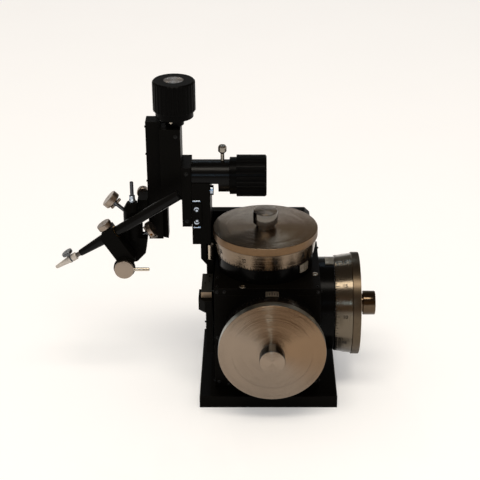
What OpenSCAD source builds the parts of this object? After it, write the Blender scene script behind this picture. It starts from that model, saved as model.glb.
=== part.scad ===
// Three-axis bench micromanipulator.
// A hollow drive block on a base plate carries three large graduated dials.
// Each dial turns a fine screw, whose nut swings a reducing lever, and the
// lever pushes one of three stacked stages. The last stage carries a column
// with two coarse slides and a jointed electrode holder.
// Frame: origin at the centre of the base underside, +X towards the right
// dial, +Y away from the front dial, +Z up. Millimetres.

/* [Base and drive block] */
// Width of the base plate
base_w = 105.5; // [100:0.5:130]
// Depth of the base plate
base_d = 104.5; // [100:0.5:130]
// Thickness of the base plate
base_t = 10; // [9:0.5:16]
// Spacing of the tapped holes in the base underside
base_hole_pitch = 90; // [82:1:94]
// Radius of the tapped holes in the base underside
base_hole_r = 2.5; // [2:0.1:3]
// Depth of the tapped holes
base_hole_depth = 7; // [4:0.5:8]
// Width of the drive block
block_w = 80; // [80:0.5:90]
// Depth of the drive block
block_d = 80; // [80:0.5:90]
// Height of the drive block
block_h = 86.7; // [86:0.1:100]
// Sideways place of the block on the base
block_x = -1; // [-2:0.1:2]
// Fore-and-aft place of the block on the base
block_y = 0.5; // [-1:0.1:2]
// Thickness of the block's side, back and bottom walls
wall_t = 8; // [7:0.1:8]
// Thickness of the front and top plates
plate_t = 6; // [5:0.1:7]

/* [Fine drives] */
// Radius of a dial at its knurled rim
dial_r = 40; // [38:0.1:41]
// Distance of a dial's face from the block
dial_face = 31.6; // [30:0.1:34]
// Width of the knurled rim
rim_w = 6.5; // [5:0.1:8]
// Radius of the graduated skirt next to the rim
skirt_r_out = 39.3; // [38:0.1:39.5]
// Radius of the graduated skirt at its free edge
skirt_r_in = 37.2; // [36.8:0.1:38]
// Radius of the barrel behind a dial
barrel_r = 36.3; // [34:0.1:36.5]
// Height of the barrel
barrel_h = 11.5; // [9:0.1:13]
// Gap between barrel and dial
dial_gap = 0.5; // [0.3:0.05:1]
// Radius of a dial's centre knob
knob_r = 9.5; // [8:0.1:12]
// Radius of the neck under the centre knob
knob_neck_r = 7.3; // [6:0.1:7.8]
// Height of that neck
knob_neck_h = 3.5; // [2:0.1:5]
// Height of the centre knob above the dial's face
knob_h = 13.4; // [11:0.1:18]
// Radius of a dial spindle in its bush
spindle_r = 4; // [3.5:0.1:4.5]
// Radius of the spindle's fine thread
thread_r = 3; // [2.5:0.1:3.3]
// Outer radius of a spindle bush
bush_r = 8; // [6.5:0.1:8.5]
// Radius of a travelling nut
nut_r = 7; // [6:0.1:7.5]
// Length of a travelling nut
nut_h = 8; // [6:0.1:8.5]
// Depth of a nut's centre below the block's face
nut_depth = 17; // [16.8:0.1:18]
// Travel of a nut to each side
nut_travel = 4; // [2:0.1:4]
// Radius of the drive pins and lever pivots
pin_r = 1.5; // [1.2:0.05:1.6]
// Radius of the pins that a lever pushes a stage with
push_pin_r = 1.25; // [1:0.05:1.3]
// Long arm of a lever, from its pivot to the nut
arm_long = 25; // [24:0.1:25]
// Short arm of a lever, from its pivot to the stage pin
arm_short = 5; // [5:0.1:6]
// Half width of a lever
lever_half_w = 4; // [3.5:0.1:4.2]
// Thickness of a lever
lever_t = 4; // [3:0.1:5]
// Distance of a lever from its drive's axis
lever_off = 14; // [12:0.1:15]
// Place of the right dial's axis from front to back
right_axis_y = 5.05; // [3:0.05:6]
// Height of the right dial's axis
right_axis_z = 60.4; // [58:0.1:61]
// Sideways place of the front dial's axis
front_axis_x = 2.45; // [1:0.05:2.5]
// Height of the front dial's axis
front_axis_z = 59.4; // [58:0.1:60]
// Sideways place of the top dial's axis
top_axis_x = -2.35; // [-3:0.05:-1]
// Place of the top dial's axis from front to back
top_axis_y = 2.35; // [1:0.05:3]
// Width of an index plate along the barrel's edge
index_w = 9.5; // [6:0.1:12]
// Height of an index plate along the barrel's axis
index_h = 6.5; // [4:0.1:8]
// Thickness of an index plate
index_t = 1.1; // [0.8:0.1:1.5]

/* [Stages] */
// Travel of each fine stage to each side
stage_travel = 0.8; // [0.4:0.05:0.8]
// Thickness of the X stage plate at the back
x_plate_t = 8; // [7.5:0.1:10]
// Height of the X stage plate's top edge
x_plate_top = 122.7; // [118:0.1:124]
// Height of the X stage plate's bottom edge
x_plate_bottom = 24; // [15:0.5:30]
// Width of the X stage plate
x_plate_w = 81; // [80:0.5:84]
// Chamfer on the X stage plate's top corner
x_plate_chamfer = 4; // [1:0.5:6]
// Half width of the X stage's dovetail at its neck
x_dove_neck = 8; // [6:0.1:9]
// Half width of the X stage's dovetail at its head
x_dove_head = 11; // [10:0.1:12]
// Depth of the X stage's dovetail
x_dove_h = 4.2; // [3:0.1:5]
// Height of the X stage's dovetail centre line
x_dove_z = 74; // [66:0.5:76]
// Thickness of the Y stage plate beside the block
y_plate_t = 5.5; // [5:0.1:6]
// Front edge of the Y stage plate
y_plate_front = -27.5; // [-29:0.1:-26]
// Back edge of the Y stage plate
y_plate_back = 40; // [39:0.1:40.3]
// Bottom edge of the Y stage plate
y_plate_bottom = 34.5; // [30:0.5:35]
// Top of the Y stage plate's front shelf
y_shelf_z = 82.2; // [76:0.1:84]
// Place where the Y stage plate rises behind its shelf
y_step_y = 3; // [1:0.1:5]
// Radius of the Y stage's guide rods
guide_rod_r = 1.5; // [1.2:0.05:1.8]
// Height of the lower guide rod
guide_rod_z = 41; // [40:0.5:44]
// Spacing of the guide rods
guide_rod_pitch = 16; // [12:0.5:18]
// Half width of the Z slide at the outer face
z_dove_small = 4.5; // [3.5:0.1:5]
// Half width of the Z slide at the inner face
z_dove_big = 7; // [6:0.1:7.5]
// Height of the Z slide
z_slider_h = 46; // [44:0.5:47]
// Height of the bar on the shelf
bar_h = 5; // [4:0.1:7]
// Width of the bar on the shelf
bar_w = 8; // [7:0.1:9]
// Radius of the bright spring sleeve
sleeve_r = 2.7; // [2:0.1:2.8]
// Foot of the spring sleeve
sleeve_z = 98.8; // [96:0.1:102]

/* [Column and coarse X slide] */
// Width of the column
column_w = 14.1; // [13:0.1:14.2]
// Depth of the column
column_d = 37; // [32:0.5:40]
// Underside of the column
column_bottom = 112.6; // [112:0.1:116]
// Lower end of the column's foot
column_foot_bottom = 95.1; // [92:0.1:98]
// Thickness of the column's foot
column_foot_t = 4.2; // [3:0.1:6]
// Chamfer height under the column's foot
column_foot_chamfer = 5.2; // [2:0.1:6]
// Height of the coarse X slide's axis
tube_z = 164.3; // [162:0.1:168]
// Place of both coarse drives' axes from front to back
coarse_y = 16.5; // [15:0.1:18]
// Radius of the coarse X tube
tube_r = 12.4; // [11:0.1:13]
// Radius of the plunger in the tube
plunger_r = 7; // [6:0.1:7.5]
// Depth of the tube's lower flat below its axis
tube_flat = 1.1; // [0.5:0.1:2]
// Depth of the plunger's flat below its axis
plunger_flat = 5; // [4:0.1:5.5]
// Length of the tube that stands on the column
tube_seat_l = 20.2; // [18:0.1:21]
// Length of the tube's full round end
tube_end_l = 8.4; // [8:0.1:12]
// Thickness of the tube's end wall
tube_end_wall = 3.4; // [2.5:0.1:4]
// Radius of a coarse knob at its flutes
coarse_knob_r = 15.95; // [14:0.05:16]
// Length of a coarse knob's fluted part
coarse_knob_l = 22.8; // [18:0.1:26]
// Radius of a coarse knob's collar
coarse_collar_r = 14.2; // [12:0.1:14.5]
// Length of a coarse knob's collar
coarse_collar_l = 5.2; // [4:0.1:7]
// Number of flutes round a coarse knob
flutes = 30; // [20:1:36]
// Radius of a flute
flute_r = 1.1; // [0.8:0.05:1.2]
// Depth of a flute
flute_depth = 0.6; // [0.4:0.05:0.7]
// Radius of the coarse lead screws
lead_r = 2; // [1.5:0.1:2.5]
// Radius of the coarse lead screws' journals
journal_r = 3; // [2.6:0.1:3.2]
// Thickness of the hanging plate
hang_t = 7.1; // [6:0.1:8]
// Depth of the hanging plate
hang_d = 27; // [25:0.5:29]
// Height of the hanging plate
hang_h = 48.3; // [46:0.1:52]
// Radius of the tube's lock screw head
tube_lock_r = 3.25; // [2.5:0.05:4]
// Distance of the tube's lock screw from the knob end of the tube
tube_lock_in = 5.3; // [5:0.1:7]

/* [Coarse Z slide] */
// Width of the coarse Z body
z_body_w = 15.4; // [15:0.1:17]
// Depth of the coarse Z body
z_body_d = 25; // [23:0.5:28]
// Height of the coarse Z body
z_body_h = 56.5; // [54:0.1:60]
// Top of the coarse Z body
z_body_top = 206; // [204:0.1:208]
// Distance of the coarse Z screw from the body's right face
z_screw_in = 4.6; // [4.4:0.1:5.5]
// Width of the carriage
carriage_w = 10.8; // [9:0.1:12]
// Depth of the carriage
carriage_d = 13; // [12:0.1:14]
// Height of the carriage
carriage_h = 96; // [92:0.5:98]
// Half width of the carriage's dovetail at its neck
z_tail_neck = 3.5; // [3:0.1:4]
// Half width of the carriage's dovetail at its head
z_tail_head = 5.5; // [5:0.1:6]
// Depth of the carriage's dovetail
z_tail_h = 4; // [3:0.1:5]
// Travel of the coarse Z slide, downwards
coarse_z_travel = 25; // [10:1:25]
// Height of the hub under the coarse Z knob
z_hub_h = 6.2; // [5.5:0.1:8]
// Radius of the bright disc in the coarse Z knob
inset_r = 7.35; // [5:0.05:9]

/* [Electrode holder] */
// Height of the clamp bracket
bracket_h = 14.5; // [12:0.5:16]
// Underside of the clamp bracket
bracket_z = 135; // [133:0.5:138]
// Distance of the swivel axis from the carriage
swivel_out = 11; // [10.8:0.1:13]
// Radius of the bracket's round head and of the swivel's neck
swivel_head_r = 7.2; // [6:0.1:7.3]
// Radius of the swivel stud
stud_r = 2; // [1.6:0.1:2.4]
// Top of the swivel stud
stud_top = 166.1; // [160:0.1:170]
// Tilt of the holder rod from level, in degrees
rod_tilt = 32.5; // [20:0.5:45]
// Radius of the holder rod
rod_r = 4; // [3:0.1:4.2]
// Outer radius of the rod's bush
rod_bush_r = 4.8; // [4.6:0.1:4.9]
// Sideways place of the rod's datum point
rod_x = -109.3; // [-111:0.1:-107]
// Place of the rod from front to back
rod_y = -13.3; // [-14:0.1:-13.2]
// Height of the rod's datum point
rod_z = 134.4; // [133:0.1:136]
// Length of rod above its datum point
rod_up = 50; // [40:1:60]
// Start of the tapered nose below the datum point
nose_start = 18; // [17:0.5:20]
// Length of the tapered nose
nose_l = 21.3; // [16:0.1:26]
// Radius of the nose's small end
nose_r = 2.5; // [2.2:0.1:3]
// Thickness of the tilting arm
arm_t = 11.4; // [11:0.1:11.6]
// Width of the tilting arm
arm_w = 12; // [10.5:0.1:12]
// Place of the arm's middle along the rod, below the datum point
arm_s = 12; // [11:0.1:12.5]
// Distance from the rod to the tilt pivot
tilt_n = 25.7; // [22:0.1:27]
// Place of the tilt pivot along the rod, below the datum point
tilt_s = 15.9; // [12:0.1:17]
// Radius of the tilt lock's disc
tilt_disc_r = 7.3; // [6:0.1:8]
// Radius of the capillary bore in the tip
capillary_r = 0.8; // [0.5:0.05:1]
// Length of the capillary bore
capillary_l = 15.5; // [10:0.5:16]
// Length of the chuck's cone
cone_l = 11.5; // [8:0.1:14]
// Length of the chuck's ribbed head
chuck_head_l = 7.5; // [6:0.1:9]
// Radius of the chuck's ribbed head
chuck_head_r = 2.9; // [2.4:0.1:3.4]

/* [Clearances] */
// Radial clearance of a turning or sliding fit
run_c = 0.04; // [0.01:0.01:0.09]
// Gap round a pressed or screwed piece
seat_c = 0.02; // [0.01:0.01:0.05]
// Gap between sliding flat faces
slide_c = 0.06; // [0.03:0.01:0.1]
// Play of a pin in a lever's slot
slot_c = 0.1; // [0.08:0.01:0.15]

/* [Hidden] */
$fn = 96;

black = "#16140f";
steel = "#a79a8b";
brass = "#b8924a";

// Faces of the drive block
x_left = block_x - block_w / 2;
x_right = block_x + block_w / 2;
y_front = block_y - block_d / 2;
y_back = block_y + block_d / 2;
z_top = base_t + block_h;
bolt_r = 2;             // shank of the block's screws
head_r = 2.65;          // head of the block's screws
head_h = 1.6;
screw_l = 10;
cover_inset = 3;        // distance of the cover screws from the block's edge
rim_room = 0.6;         // room round a dial's rim
lever_room = 0.6;       // room round a lever's pivot end
nut_slot_play = 0.6;    // run of the nut's pin along its slot, to each side
push_slot_play = 0.5;   // run of a push pin along its slot, beyond the travel
slot_fan = 5;           // widening of a lever's slot towards its ends, in degrees
barrel_bolt_r = barrel_r - 12;  // pitch circle of the screws in a barrel
small_bolt_r = 1.2;
plate_gap = 0.5;        // room left between the stacked plates at full travel

// Stack of plates beside the block and the top barrel, from right to left
stack_side = min(x_left, top_axis_x - barrel_r);
y_plate_right = stack_side - stage_travel - plate_gap;
y_plate_left = y_plate_right - y_plate_t;
y_plate_top = column_bottom - stage_travel - plate_gap;
foot_right = y_plate_left - slide_c;
x_plate_front = y_back + 1.5;
x_plate_back = x_plate_front + x_plate_t;
x_plate_left = y_plate_left - 0.2;
x_rail_right = x_plate_left + x_plate_w - 2;
rod_tip_y = 5;          // free end of the Y guide rods
z_slot_bottom = column_bottom - z_slider_h - stage_travel - 1;

// Column and coarse X slide
column_right = foot_right + 3.76;
column_left = column_right - column_w;
column_front = y_step_y;
column_top = tube_z - tube_flat;
tube_left = column_left;
tube_step = tube_left + tube_seat_l;
tube_right = tube_step + tube_end_l;
hang_right = column_left - 0.3;
hang_left = hang_right - hang_t;
hang_top = tube_z + 11.5;
hang_front = coarse_y - hang_d / 2;
plunger_l = tube_right - tube_end_wall - 0.5 - hang_right;
keyway_half = 7.4;      // half width of the saddle's keyway
tube_lock_x = tube_right - tube_lock_in;

// Coarse Z slide
z_body_right = hang_left;
z_body_left = z_body_right - z_body_w;
z_body_front = coarse_y - z_body_d / 2;
z_body_bottom = z_body_top - z_body_h;
z_axis_x = z_body_right - z_screw_in;
carriage_right = z_body_left - slide_c;
carriage_left = carriage_right - carriage_w;
carriage_top = z_body_top + 4;
carriage_bottom = carriage_top - carriage_h;
tail_top = z_body_top - 0.5;
nut_block_h = 10;
nut_block_half = 4.6;
pocket_half = nut_block_half + 0.3;
pocket_top = z_body_top - 4;
pocket_bottom = pocket_top - nut_block_h - coarse_z_travel - 3;
nut_block_top = pocket_top - 1;
z_knob_z = z_body_top + 0.3 + z_hub_h;
inset_t = 0.8;

// Electrode holder
bracket_top = bracket_z + bracket_h;
swivel_x = carriage_left - swivel_out;
head_cone_h = 5.5;
head_cone_r = 4.2;
neck_top = bracket_z - 0.2;
body_half_d = 6;        // half depth of the swivel body
body_z = neck_top - 14.8;  // datum height of the swivel body
arm_back = rod_y + arm_t / 2;
arm_front = rod_y - arm_t / 2;
boss_front = arm_back + 0.2;
tilt_boss_r = 6.5;
lock_s = 10.6;          // place of the rod lock along the rod
lock_reach = 4.3;
washer_r = 8.2;
washer_t = 1.9;
disc_t = 3.4;           // thickness of a thumb screw's disc
thumb_r = 6.8;
small_thumb_r = 5.6;
thumb_stem_r = 1.5;
cross_pin_r = 1.2;
cross_pin_l = 10.5;
arm_top_n = 6.4;        // reach of the arm above the rod's axis
arm_chamfer = 3.5;
collar_s = nose_start + nose_l;
collar_l = 3.6;
collar_r = 1.8;
head_s = collar_s + collar_l;
cone_s = head_s + chuck_head_l;
tip_s = cone_s + cone_l;
tip_r = 1.3;
chuck_screw_s = head_s + 4.9;

function mid(a, b) = (a + b) / 2;

// A block given by its low and high corners
module slab(low, high) {
    translate(low) cube(high - low);
}

// Dovetail outline: neck half width at y = 0, head half width at y = depth. A
// groove runs on past that depth at the same slope.
module dovetail(neck, head, depth, extra) {
    end = head + (head - neck) / depth * extra;
    polygon([[-neck, 0], [neck, 0], [end, depth + extra], [-end, depth + extra]]);
}

// ---- frames of the three fine drives -------------------------------------
// In each frame +Z points out of the block along the dial's axis, z = 0 is the
// block's face, and +X is the side on which the lever lies.
module x_drive() {
    translate([x_right, right_axis_y, right_axis_z])
        rotate([0, 90, 0]) rotate([0, 0, 90]) children();
}
module y_drive() {
    translate([front_axis_x, y_front, front_axis_z])
        rotate([90, 0, 0]) rotate([0, 0, 180]) children();
}
module z_drive() {
    translate([top_axis_x, top_axis_y, z_top])
        rotate([0, 0, 180]) children();
}
// Side of the frame's X axis to which each lever reaches
x_side = -1;
y_side = 1;
z_side = -1;
// Distance from each axis to the inner face of the wall that holds its pivot
x_reach = y_back - wall_t - right_axis_y;
y_reach = front_axis_x - x_left - wall_t;
z_reach = top_axis_x - x_left - wall_t;
pivot_seat = 5;         // depth of a pivot's hole in its wall

// ---- parts of a fine drive ------------------------------------------------
module barrel(spread) {
    difference() {
        cylinder(r = barrel_r, h = barrel_h);
        translate([0, 0, -1]) cylinder(r = bush_r + seat_c, h = barrel_h + 2);
        for (a = spread) rotate([0, 0, a]) translate([barrel_bolt_r, 0, -1])
            cylinder(r = bolt_r + seat_c, h = barrel_h + 2);
        for (a = spread) rotate([0, 0, a]) translate([barrel_bolt_r, 0, barrel_h - 4])
            cylinder(r = head_r + 0.2, h = 5);
    }
}

module dial() {
    back = barrel_h + dial_gap;
    rim_z = dial_face - rim_w;
    bevel = 0.5;
    rotate_extrude() polygon([
        [spindle_r + seat_c, back],
        [skirt_r_in, back],
        [skirt_r_out, rim_z],
        [dial_r - bevel, rim_z],
        [dial_r, rim_z + bevel],
        [dial_r, dial_face - bevel],
        [dial_r - bevel, dial_face],
        [spindle_r + seat_c, dial_face]]);
}

module dial_knob() {
    base = dial_face + seat_c;
    top = dial_face + knob_h;
    bore = thread_r + seat_c;
    bevel = 0.7;
    rotate_extrude() polygon([
        [bore, base],
        [knob_neck_r, base],
        [knob_neck_r, base + knob_neck_h],
        [knob_r - bevel, base + knob_neck_h],
        [knob_r, base + knob_neck_h + bevel],
        [knob_r, top - bevel],
        [knob_r - bevel, top],
        [0, top],
        [0, top - 3],
        [bore, top - 3]]);
}

module spindle(wall) {
    journal_end = dial_face;
    tail = nut_depth + nut_travel + nut_h / 2 + 0.5;
    translate([0, 0, -wall - 0.3]) cylinder(r = spindle_r, h = journal_end + wall + 0.3);
    translate([0, 0, -tail]) cylinder(r = thread_r, h = tail + dial_face + knob_h - 3.5);
}

module bush(wall) {
    difference() {
        translate([0, 0, -wall]) cylinder(r = bush_r, h = barrel_h + wall);
        translate([0, 0, -wall - 1])
            cylinder(r = spindle_r + run_c, h = barrel_h + wall + 2);
    }
}

module drive_nut() {
    difference() {
        translate([0, 0, -nut_depth - nut_h / 2]) cylinder(r = nut_r, h = nut_h);
        translate([0, 0, -nut_depth - nut_h]) cylinder(r = thread_r + run_c, h = 2 * nut_h);
    }
    translate([thread_r + 1, 0, -nut_depth]) rotate([0, 90, 0])
        cylinder(r = pin_r, h = lever_off + lever_t + 0.5 - thread_r - 1);
}

// A round-ended slot through a lever, along the lever, a little wider at its
// ends so that the pin keeps its play when the lever stands askew
module lever_slot(y, r, play) {
    for (t = [-slot_fan, slot_fan])
        translate([lever_off - 1, y, -nut_depth]) rotate([t, 0, 0]) {
            for (d = [-play, play]) translate([0, d, 0])
                rotate([0, 90, 0]) cylinder(r = r, h = lever_t + 2);
            translate([0, -play, -r]) cube([lever_t + 2, 2 * play, 2 * r]);
        }
}

module drive_lever(side) {
    difference() {
        union() {
            for (y = [0, side * arm_long]) translate([lever_off, y, -nut_depth])
                rotate([0, 90, 0]) cylinder(r = lever_half_w, h = lever_t);
            translate([lever_off, min(0, side * arm_long), -nut_depth - lever_half_w])
                cube([lever_t, arm_long, 2 * lever_half_w]);
        }
        lever_slot(0, pin_r + slot_c, nut_slot_play);
        lever_slot(side * (arm_long - arm_short), push_pin_r + slot_c,
            stage_travel + push_slot_play);
        translate([lever_off - 1, side * arm_long, -nut_depth]) rotate([0, 90, 0])
            cylinder(r = pin_r + run_c, h = lever_t + 2);
    }
}

module lever_pivot(side, reach, r, from) {
    translate([from, side * arm_long, -nut_depth]) rotate([0, 90, 0])
        cylinder(r = r, h = reach + pivot_seat - from);
}

// Room in the block for the pivot end of a lever
module lever_end_room(side) {
    translate([lever_off - lever_room, side * arm_long, -nut_depth]) rotate([0, 90, 0])
        cylinder(r = lever_half_w + lever_room, h = lever_t + 2 * lever_room);
}

// Pin with which a lever pushes its stage, and the window it passes through
module push_pin(side, to) {
    start = lever_off - 0.5;
    translate([start, side * (arm_long - arm_short), -nut_depth]) rotate([0, 90, 0])
        cylinder(r = push_pin_r, h = to - start);
}
module push_window(side, reach) {
    half = push_pin_r + stage_travel + 0.4;
    translate([reach - 1, side * (arm_long - arm_short) - half, -nut_depth - half])
        cube([wall_t + 2, 2 * half, 2 * half]);
}

module index_plate(a) {
    sweep = index_w / barrel_r * 180 / PI;
    rotate([0, 0, a - sweep / 2]) rotate_extrude(angle = sweep)
        translate([barrel_r + seat_c, barrel_h - index_h]) square([index_t, index_h]);
}

// Angles of the screws under each dial, and of the index plates
spread = [45, 135, 225, 315];
x_index = 90;
y_index = -90;
z_index = 142;

// ---- base and drive block -------------------------------------------------
block_bolt_x = block_w / 2 - 14;
block_bolt_y = block_d / 2 - 14;
base_bolts = [for (i = [-1, 1]) for (j = [-1, 1])
    [block_x + i * block_bolt_x, block_y + j * block_bolt_y]];
base_head_r = 3.6;
base_head_h = 4;
top_bolt_edge = 3.8;    // places of the top plate's screws along its four edges
top_bolt_along = 21.5;
top_bolt_side = 23.2;
top_bolts = [
    [x_left + top_bolt_along, y_front + cover_inset],
    [x_right - top_bolt_edge, y_front + top_bolt_side],
    [x_right - top_bolt_along, y_back - top_bolt_edge],
    [x_left + top_bolt_edge, y_back - top_bolt_side]];

module base_plate() {
    edge = 0.8;
    color(black) difference() {
        translate([-base_w / 2, -base_d / 2, 0]) cube([base_w, base_d, base_t]);
        for (x = [-1, 1]) for (y = [-1, 1])
            translate([x * base_hole_pitch / 2, y * base_hole_pitch / 2, -1])
                cylinder(r = base_hole_r, h = base_hole_depth + 1);
        for (b = base_bolts) {
            translate([b[0], b[1], -1]) cylinder(r = bolt_r + seat_c, h = base_t + 2);
            translate([b[0], b[1], -1]) cylinder(r = base_head_r + 0.2, h = base_head_h + 1.3);
        }
        for (s = [-1, 1]) translate([s * base_w / 2, 0, base_t]) rotate([0, 45, 0])
            cube([edge, base_d + 2, edge], center = true);
        for (s = [-1, 1]) translate([0, s * base_d / 2, base_t]) rotate([45, 0, 0])
            cube([base_w + 2, edge, edge], center = true);
    }
}

module housing_screws() {
    color(steel) {
        for (b = base_bolts) translate([b[0], b[1], 0.2]) {
            cylinder(r = base_head_r, h = base_head_h);
            cylinder(r = bolt_r, h = base_t + wall_t - 2);
        }
        for (b = top_bolts) translate([b[0], b[1], z_top - screw_l]) {
            cylinder(r = bolt_r, h = screw_l - head_h);
            translate([0, 0, screw_l - head_h]) cylinder(r = head_r, h = head_h - 0.1);
        }
        x_drive() barrel_screws();
        y_drive() barrel_screws();
        z_drive() barrel_screws();
    }
}
module barrel_screws() {
    for (a = spread) rotate([0, 0, a]) translate([barrel_bolt_r, 0, 0]) {
        translate([0, 0, -plate_t + 0.5]) cylinder(r = bolt_r, h = barrel_h + plate_t - 4.5);
        translate([0, 0, barrel_h - 4]) cylinder(r = head_r, h = 2.5);
    }
}
module barrel_screw_holes() {
    for (a = spread) rotate([0, 0, a]) translate([barrel_bolt_r, 0, -plate_t - 0.5])
        cylinder(r = bolt_r + seat_c, h = plate_t + 1.5);
}

module top_bolt_holes() {
    for (b = top_bolts) {
        translate([b[0], b[1], z_top - screw_l - 0.5])
            cylinder(r = bolt_r + seat_c, h = screw_l + 1);
        translate([b[0], b[1], z_top - head_h]) cylinder(r = head_r + seat_c, h = head_h + 1);
    }
}

// A dovetail bar along X on the block's back, up to the given right end
module x_rail(c, extra, right, length) {
    translate([right, y_back - 0.01, x_dove_z]) rotate([0, -90, 0]) linear_extrude(length)
        dovetail(x_dove_neck + c, x_dove_head + c, x_dove_h, extra);
}

module drive_housing() {
    inner_front = y_front + plate_t;
    inner_top = z_top - plate_t;
    color(black) difference() {
        union() {
            slab([x_left, inner_front, base_t], [x_right, y_back, inner_top]);
            x_rail(0, 0, x_rail_right, x_rail_right - x_left);
        }
        slab([x_left + wall_t, inner_front - 1, base_t + wall_t],
            [x_right - wall_t, y_back - wall_t, inner_top + 1]);
        x_drive() {
            translate([0, 0, -wall_t - 1]) cylinder(r = bush_r + seat_c, h = wall_t + 2);
            barrel_screw_holes();
            lever_pivot(x_side, x_reach, pin_r + seat_c, x_reach - 1);
            push_window(x_side, x_reach);
        }
        y_drive() {
            lever_pivot(y_side, y_reach, pin_r + seat_c, y_reach - 1);
            push_window(y_side, y_reach);
        }
        z_drive() {
            lever_pivot(z_side, z_reach, pin_r + seat_c, z_reach - 1);
            push_window(z_side, z_reach);
        }
        for (b = base_bolts) translate([b[0], b[1], base_t - 1])
            cylinder(r = bolt_r + seat_c, h = wall_t);
        top_bolt_holes();
        x_drive() lever_end_room(x_side);
        y_drive() lever_end_room(y_side);
        z_drive() lever_end_room(z_side);
    }
}

module front_plate() {
    color(black) difference() {
        slab([x_left, y_front, base_t], [x_right, y_front + plate_t, z_top - plate_t]);
        y_drive() {
            translate([0, 0, -plate_t - 1]) cylinder(r = bush_r + seat_c, h = plate_t + 2);
            barrel_screw_holes();
        }
        top_bolt_holes();
    }
}

module top_plate() {
    color(black) difference() {
        slab([x_left, y_front, z_top - plate_t], [x_right, y_back, z_top]);
        z_drive() {
            translate([0, 0, -plate_t - 1]) cylinder(r = bush_r + seat_c, h = plate_t + 2);
            barrel_screw_holes();
        }
        top_bolt_holes();
    }
}

module barrel_x() { color(black) x_drive() barrel(spread); }
module barrel_y() { color(black) y_drive() barrel(spread); }
module barrel_z() { color(black) z_drive() barrel(spread); }
module index_plates() {
    color(steel) {
        x_drive() index_plate(x_index);
        y_drive() index_plate(y_index);
        z_drive() index_plate(z_index);
    }
}
module spindle_bushes() {
    color(brass) {
        x_drive() bush(wall_t);
        y_drive() bush(plate_t);
        z_drive() bush(plate_t);
    }
}
module lever_pivots() {
    color(steel) {
        x_drive() lever_pivot(x_side, x_reach, pin_r, lever_off - 0.5);
        y_drive() lever_pivot(y_side, y_reach, pin_r, lever_off - 0.5);
        z_drive() lever_pivot(z_side, z_reach, pin_r, lever_off - 0.5);
    }
}
module dial_x() { color(steel) x_drive() dial(); }
module dial_y() { color(steel) y_drive() dial(); }
module dial_z() { color(steel) z_drive() dial(); }
module dial_knob_x() { color(steel) x_drive() dial_knob(); }
module dial_knob_y() { color(steel) y_drive() dial_knob(); }
module dial_knob_z() { color(steel) z_drive() dial_knob(); }
module spindle_x() { color(steel) x_drive() spindle(wall_t); }
module spindle_y() { color(steel) y_drive() spindle(plate_t); }
module spindle_z() { color(steel) z_drive() spindle(plate_t); }
module nut_x() { color(brass) x_drive() drive_nut(); }
module nut_y() { color(brass) y_drive() drive_nut(); }
module nut_z() { color(brass) z_drive() drive_nut(); }
module lever_x() { color(steel) x_drive() drive_lever(x_side); }
module lever_y() { color(steel) y_drive() drive_lever(y_side); }
module lever_z() { color(steel) z_drive() drive_lever(z_side); }

// ---- stages ---------------------------------------------------------------
module x_stage_plate() {
    right = x_plate_left + x_plate_w;
    c = x_plate_chamfer;
    groove = slide_c + 0.02;
    color(black) difference() {
        translate([0, x_plate_back, 0]) rotate([90, 0, 0]) linear_extrude(x_plate_t)
            polygon([[x_plate_left, x_plate_bottom], [right, x_plate_bottom],
                [right, x_plate_top - c], [right - c, x_plate_top],
                [x_plate_left, x_plate_top]]);
        x_rail(groove, 0.3, right + 1, x_plate_w + 2);
        // shallow relief in which the top dial's rim turns
        translate([top_axis_x, top_axis_y, z_top + dial_face - rim_w - 1])
            cylinder(r = dial_r + rim_room, h = x_plate_top);
        for (i = [0, 1]) guide_rod(i, guide_rod_r + seat_c, x_plate_back + 1);
    }
    color(steel) x_drive() push_pin(x_side, x_plate_front + 2 - right_axis_y);
}

module guide_rod(i, r, back) {
    x = mid(y_plate_left, y_plate_right);
    translate([x, back, guide_rod_z + i * guide_rod_pitch]) rotate([90, 0, 0])
        cylinder(r = r, h = back - rod_tip_y);
}

module y_guide_rods() {
    color(steel) for (i = [0, 1]) guide_rod(i, guide_rod_r, x_plate_back);
}

// Outline of the Z slide seen from above: wide at the block, narrow outside
module z_slide_outline(c) {
    y = top_axis_y + arm_long - arm_short;
    polygon([
        [foot_right, y - z_dove_small - c], [foot_right, y + z_dove_small + c],
        [y_plate_right - slide_c, y + z_dove_big + c],
        [y_plate_right - slide_c, y - z_dove_big - c]]);
}

module y_stage_plate() {
    sleeve_back = y_step_y + 2 * sleeve_r + 2.4;
    color(black) difference() {
        translate([y_plate_left, 0, 0]) rotate([90, 0, 90]) linear_extrude(y_plate_t)
            polygon([
                [y_plate_front, y_plate_bottom], [y_plate_back, y_plate_bottom],
                [y_plate_back, y_plate_top], [sleeve_back, y_plate_top],
                [sleeve_back, sleeve_z], [y_step_y, sleeve_z],
                [y_step_y, y_shelf_z], [y_plate_front, y_shelf_z]]);
        translate([0, 0, z_slot_bottom]) linear_extrude(y_plate_top)
            z_slot_outline();
        for (i = [0, 1]) guide_rod_bore(i);
    }
    color(steel) y_drive() push_pin(y_side, front_axis_x - y_plate_right + 2);
}
module guide_rod_bore(i) {
    x = mid(y_plate_left, y_plate_right);
    translate([x, y_plate_back + 1, guide_rod_z + i * guide_rod_pitch]) rotate([90, 0, 0])
        cylinder(r = guide_rod_r + run_c, h = y_plate_back + 2 + stage_travel - rod_tip_y + 1);
}
// The slot's sides run on past both faces of the plate at the slide's slope
module z_slot_outline() {
    y = top_axis_y + arm_long - arm_short;
    slope = (z_dove_big - z_dove_small) / (y_plate_right - slide_c - foot_right);
    near = z_dove_small + slide_c - slope;
    far = z_dove_big + slide_c + slope;
    polygon([[foot_right - 1, y - near], [foot_right - 1, y + near],
        [y_plate_right - slide_c + 1, y + far], [y_plate_right - slide_c + 1, y - far]]);
}

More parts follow.
